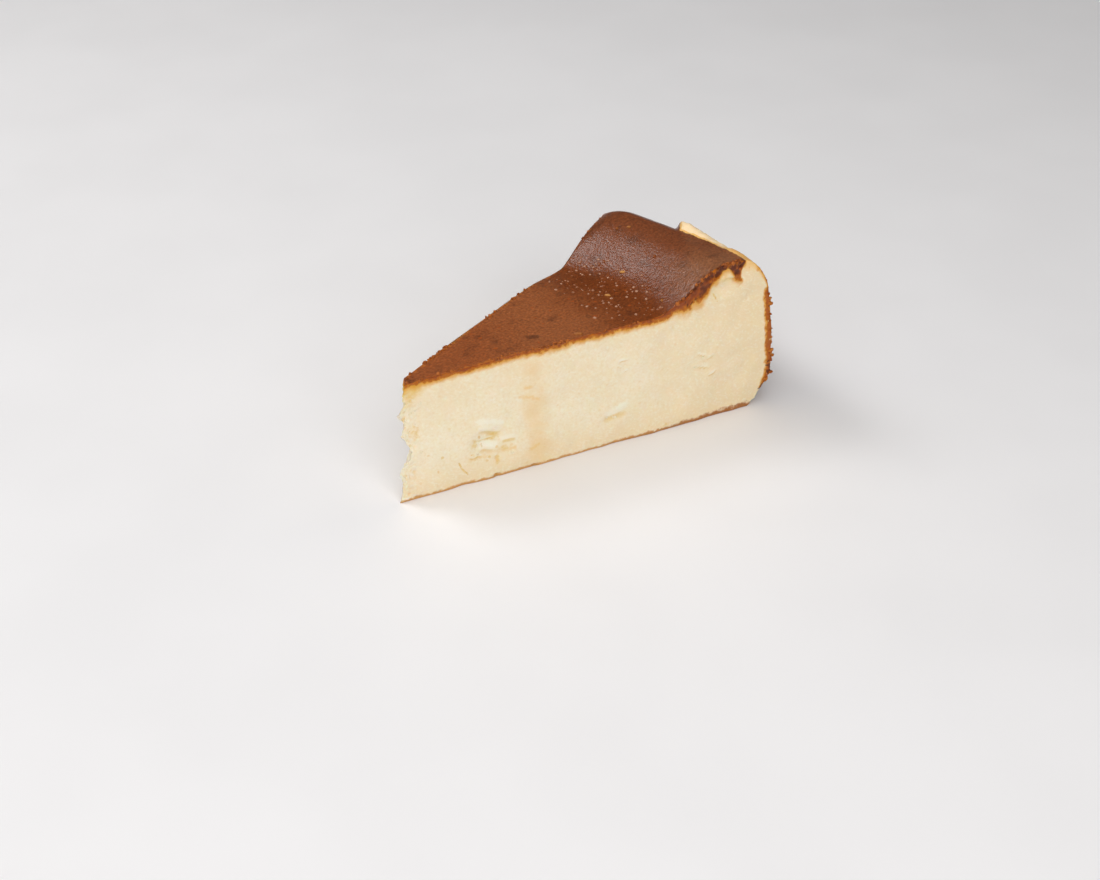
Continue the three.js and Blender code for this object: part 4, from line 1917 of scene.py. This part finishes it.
@dataclass(frozen=True)
class PlacedCrumbs(Crumbs):
    """The larger grains that lie on the top skin, each at its own place."""

    grits: tuple[Grit, ...]

    def build(self, form: SliceForm) -> bpy.types.Object:
        """Puts the grains on the skin.

        Args:
            form: The form of the slice.

        Returns:
            The grains as one piece.
        """
        mesh = bpy.data.meshes.new(self.name)
        mesh.from_pydata([form.top_place(g.radius, math.radians(g.angle)) for g in self.grits], [], [])
        sizes = np.array([(g.length, g.width, g.height) for g in self.grits], np.float32) * MM / 2
        mesh.attributes.new("sizes", "FLOAT_VECTOR", "POINT").data.foreach_set("vector", sizes.ravel())
        turns = np.radians([g.turn for g in self.grits]).astype(np.float32)
        mesh.attributes.new("turn", "FLOAT", "POINT").data.foreach_set("value", turns)
        mesh.attributes.new("tone", "FLOAT", "POINT").data.foreach_set("value", [g.tone for g in self.grits])
        piece = new_piece(self.name, mesh)
        apply_tree(piece, self.tree(), {"Raggedness": self.raggedness * MM})
        return piece

    def tree(self) -> Tree:
        """Makes the tree that puts the grains at their places.

        Returns:
            The tree, with their raggedness as a named input.
        """
        tree, given = start_tree(self.name, {"Raggedness": "NodeSocketFloat"})
        points = add_node(tree, "GeometryNodeMeshToPoints", {"Mesh": given["Geometry"]})[0]
        turn = add_node(tree, "GeometryNodeInputNamedAttribute", {"Name": "turn"}, data_type="FLOAT")[0]
        facing = add_node(tree, "FunctionNodeAxisAngleToRotation", {"Axis": UP, "Angle": turn})[0]
        inputs = {"Name": "sizes"}
        scale = add_node(tree, "GeometryNodeInputNamedAttribute", inputs, data_type="FLOAT_VECTOR")[0]
        return self.grow(tree, points, facing, scale, given["Raggedness"])


@dataclass(frozen=True)
class Softbox:
    """A square studio light: where it stands as seen from the slice, its size and its power.

    Lengths are in metres. Only a mirrored one shows in the sheen of the skin. The others fill the shadows.
    """

    name: str
    azimuth: float
    elevation: float
    distance: float
    size: float
    power: float
    mirrored: bool = False

    def build(self) -> bpy.types.Object:
        """Makes the light, facing the slice.

        Returns:
            The light.
        """
        data = bpy.data.lights.new(self.name, "AREA")
        data.shape = "SQUARE"
        data.size = self.size
        data.energy = self.power
        lamp = bpy.data.objects.new(self.name, data)
        lamp.visible_glossy = self.mirrored
        bpy.context.scene.collection.objects.link(lamp)
        turn, rise = math.radians(self.azimuth), math.radians(self.elevation)
        away = Vector((math.cos(turn) * math.cos(rise), math.sin(turn) * math.cos(rise), math.sin(rise)))
        lamp.location = away * self.distance
        lamp.rotation_euler = away.to_track_quat("Z", "Y").to_euler()
        return lamp


@dataclass
class Studio:
    """The floor, the lights and the camera, which stands where the photo was taken from. In metres."""

    floor_size: float = 6.0
    sky: str = "#ffffff"
    sky_strength: float = 0.06
    boxes: tuple[Softbox, ...] = (
        Softbox("back_softbox", 118.0, 50.0, 0.9, 0.3, 2.4, True),
        Softbox("top_softbox", 170.0, 76.0, 1.2, 1.1, 5.6),
        Softbox("front_softbox", -115.0, 40.0, 1.1, 1.0, 8.4),
    )
    camera_turn: float = -40.07
    camera_rise: float = 36.0
    camera_distance: float = 0.4504
    target: tuple[float, float, float] = (-0.00805, -0.00389, 0.0)
    lens: float = 52.25
    sensor: float = 36.0
    clip_start: float = 0.01

    def build(self) -> None:
        """Makes the floor, the lights, the sky and the camera."""
        self.build_floor()
        for box in self.boxes:
            box.build()
        world = bpy.data.worlds.new("soft_sky")
        world.use_nodes = True
        background = world.node_tree.nodes["Background"]
        background.inputs["Color"].default_value = linear(self.sky)
        background.inputs["Strength"].default_value = self.sky_strength
        bpy.context.scene.world = world
        bpy.context.scene.view_settings.view_transform = "Standard"
        self.build_camera()

    def build_floor(self) -> None:
        """Makes the plain floor that the slice stands on."""
        half = self.floor_size / 2
        corners = [(-half, -half, 0.0), (half, -half, 0.0), (half, half, 0.0), (-half, half, 0.0)]
        mesh = bpy.data.meshes.new("floor")
        mesh.from_pydata(corners, [], [(0, 1, 2, 3)])
        mesh.materials.append(PaleFloor().material())
        new_piece("floor", mesh)

    def build_camera(self) -> None:
        """Makes the camera, looking down at the slice from beside its tip."""
        data = bpy.data.cameras.new("camera")
        data.lens = self.lens
        data.sensor_width = self.sensor
        data.clip_start = self.clip_start
        camera = bpy.data.objects.new("camera", data)
        bpy.context.scene.collection.objects.link(camera)
        turn, rise = math.radians(self.camera_turn), math.radians(self.camera_rise)
        back = Vector((math.sin(turn) * math.cos(rise), -math.cos(turn) * math.cos(rise), math.sin(rise)))
        camera.location = Vector(self.target) + back * self.camera_distance
        camera.rotation_euler = back.to_track_quat("Z", "Y").to_euler()
        bpy.context.scene.camera = camera


SKIN_BLISTERS = ScatteredCrumbs(
    name="skin_blisters",
    largest=1.15,
    raggedness=0.15,
    # The pale tone is partly the blisters' own lighter colour and partly a painted highlight for their
    # glints.
    finish=CrumbFinish(name="skin_blister", first="#84431c", second="#bd8f74", roughness=0.3),
    where="blister_field",
    per_square_cm=30.0,
    smallest=0.25,
    flatness=0.6,
    seed=5,
    longest=1.1,
)
EDGE_CRUMBS = ScatteredCrumbs(
    name="edge_crumbs",
    largest=1.3,
    raggedness=0.8,
    finish=CrumbFinish(name="edge_crumb", first="#7a3c15", second="#b4652a", roughness=0.7),
    where="edge_field",
    per_square_cm=150.0,
    smallest=0.3,
    flatness=0.8,
    seed=11,
)
CRUST_CRUMBS = ScatteredCrumbs(
    name="crust_crumbs",
    largest=1.6,
    raggedness=1.0,
    finish=CrumbFinish(name="crust_crumb", first="#9a4e18", second="#c98239", roughness=0.8),
    where="crust_field",
    per_square_cm=16.0,
    smallest=0.5,
    flatness=0.5,
    seed=17,
    longest=2.2,
)
CRUST_SHARDS = ScatteredCrumbs(
    name="crust_shards",
    largest=1.3,
    raggedness=1.3,
    finish=CrumbFinish(name="crust_shard", first="#9a4c18", second="#d08538", roughness=0.8),
    where="crust_field",
    per_square_cm=18.0,
    smallest=0.4,
    flatness=1.8,
    seed=19,
)
CUSTARD_CRUMBS = ScatteredCrumbs(
    name="custard_crumbs",
    largest=1.0,
    raggedness=0.5,
    finish=CrumbFinish(name="custard_crumb", first="#f4e2bd", second="#fbeed2", roughness=0.6),
    where="custard_field",
    per_square_cm=16.0,
    smallest=0.3,
    flatness=0.7,
    seed=23,
)
SKIN_GRITS = PlacedCrumbs(
    name="skin_grits",
    largest=2.0,
    raggedness=0.3,
    finish=CrumbFinish(name="skin_grit", first="#8a441c", second="#cf9450", roughness=0.6),
    grits=(
        Grit(82.1, 1.9, 2.0, 0.9, 0.8, -40.0, 0.85),
        Grit(72.4, -1.5, 1.9, 0.9, 0.8, -50.0, 0.7),
        Grit(81.3, -11.2, 1.4, 0.8, 0.7, 30.0, 0.4),
        Grit(92.0, 9.4, 1.2, 0.9, 0.8, 20.0, 0.25),
        Grit(94.0, 7.7, 1.6, 0.9, 0.8, -40.0, 0.35),
        Grit(89.4, -1.5, 1.2, 0.9, 0.7, 10.0, 0.1),
        Grit(54.0, -13.0, 3.0, 1.4, 1.2, -40.0, 0.3),
    ),
)


def main() -> None:
    """Builds the studio, the slice and its crumbs."""
    logging.basicConfig(level=logging.INFO)
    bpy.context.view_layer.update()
    Studio().build()
    LOG.info("studio: floor, lights and camera")
    form = SliceForm()
    body = CheesecakeSlice(form).build()
    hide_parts(NODE)
    pieces = [body, SKIN_GRITS.build(form)]
    for crumbs in (SKIN_BLISTERS, EDGE_CRUMBS, CRUST_CRUMBS, CRUST_SHARDS, CUSTARD_CRUMBS):
        pieces.append(crumbs.build(body))
    for piece in pieces:
        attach(piece, BODY)
        piece.data.calc_loop_triangles()
        LOG.info("%s: %d triangles", piece.name, len(piece.data.loop_triangles))


if __name__ == "__main__":
    main()
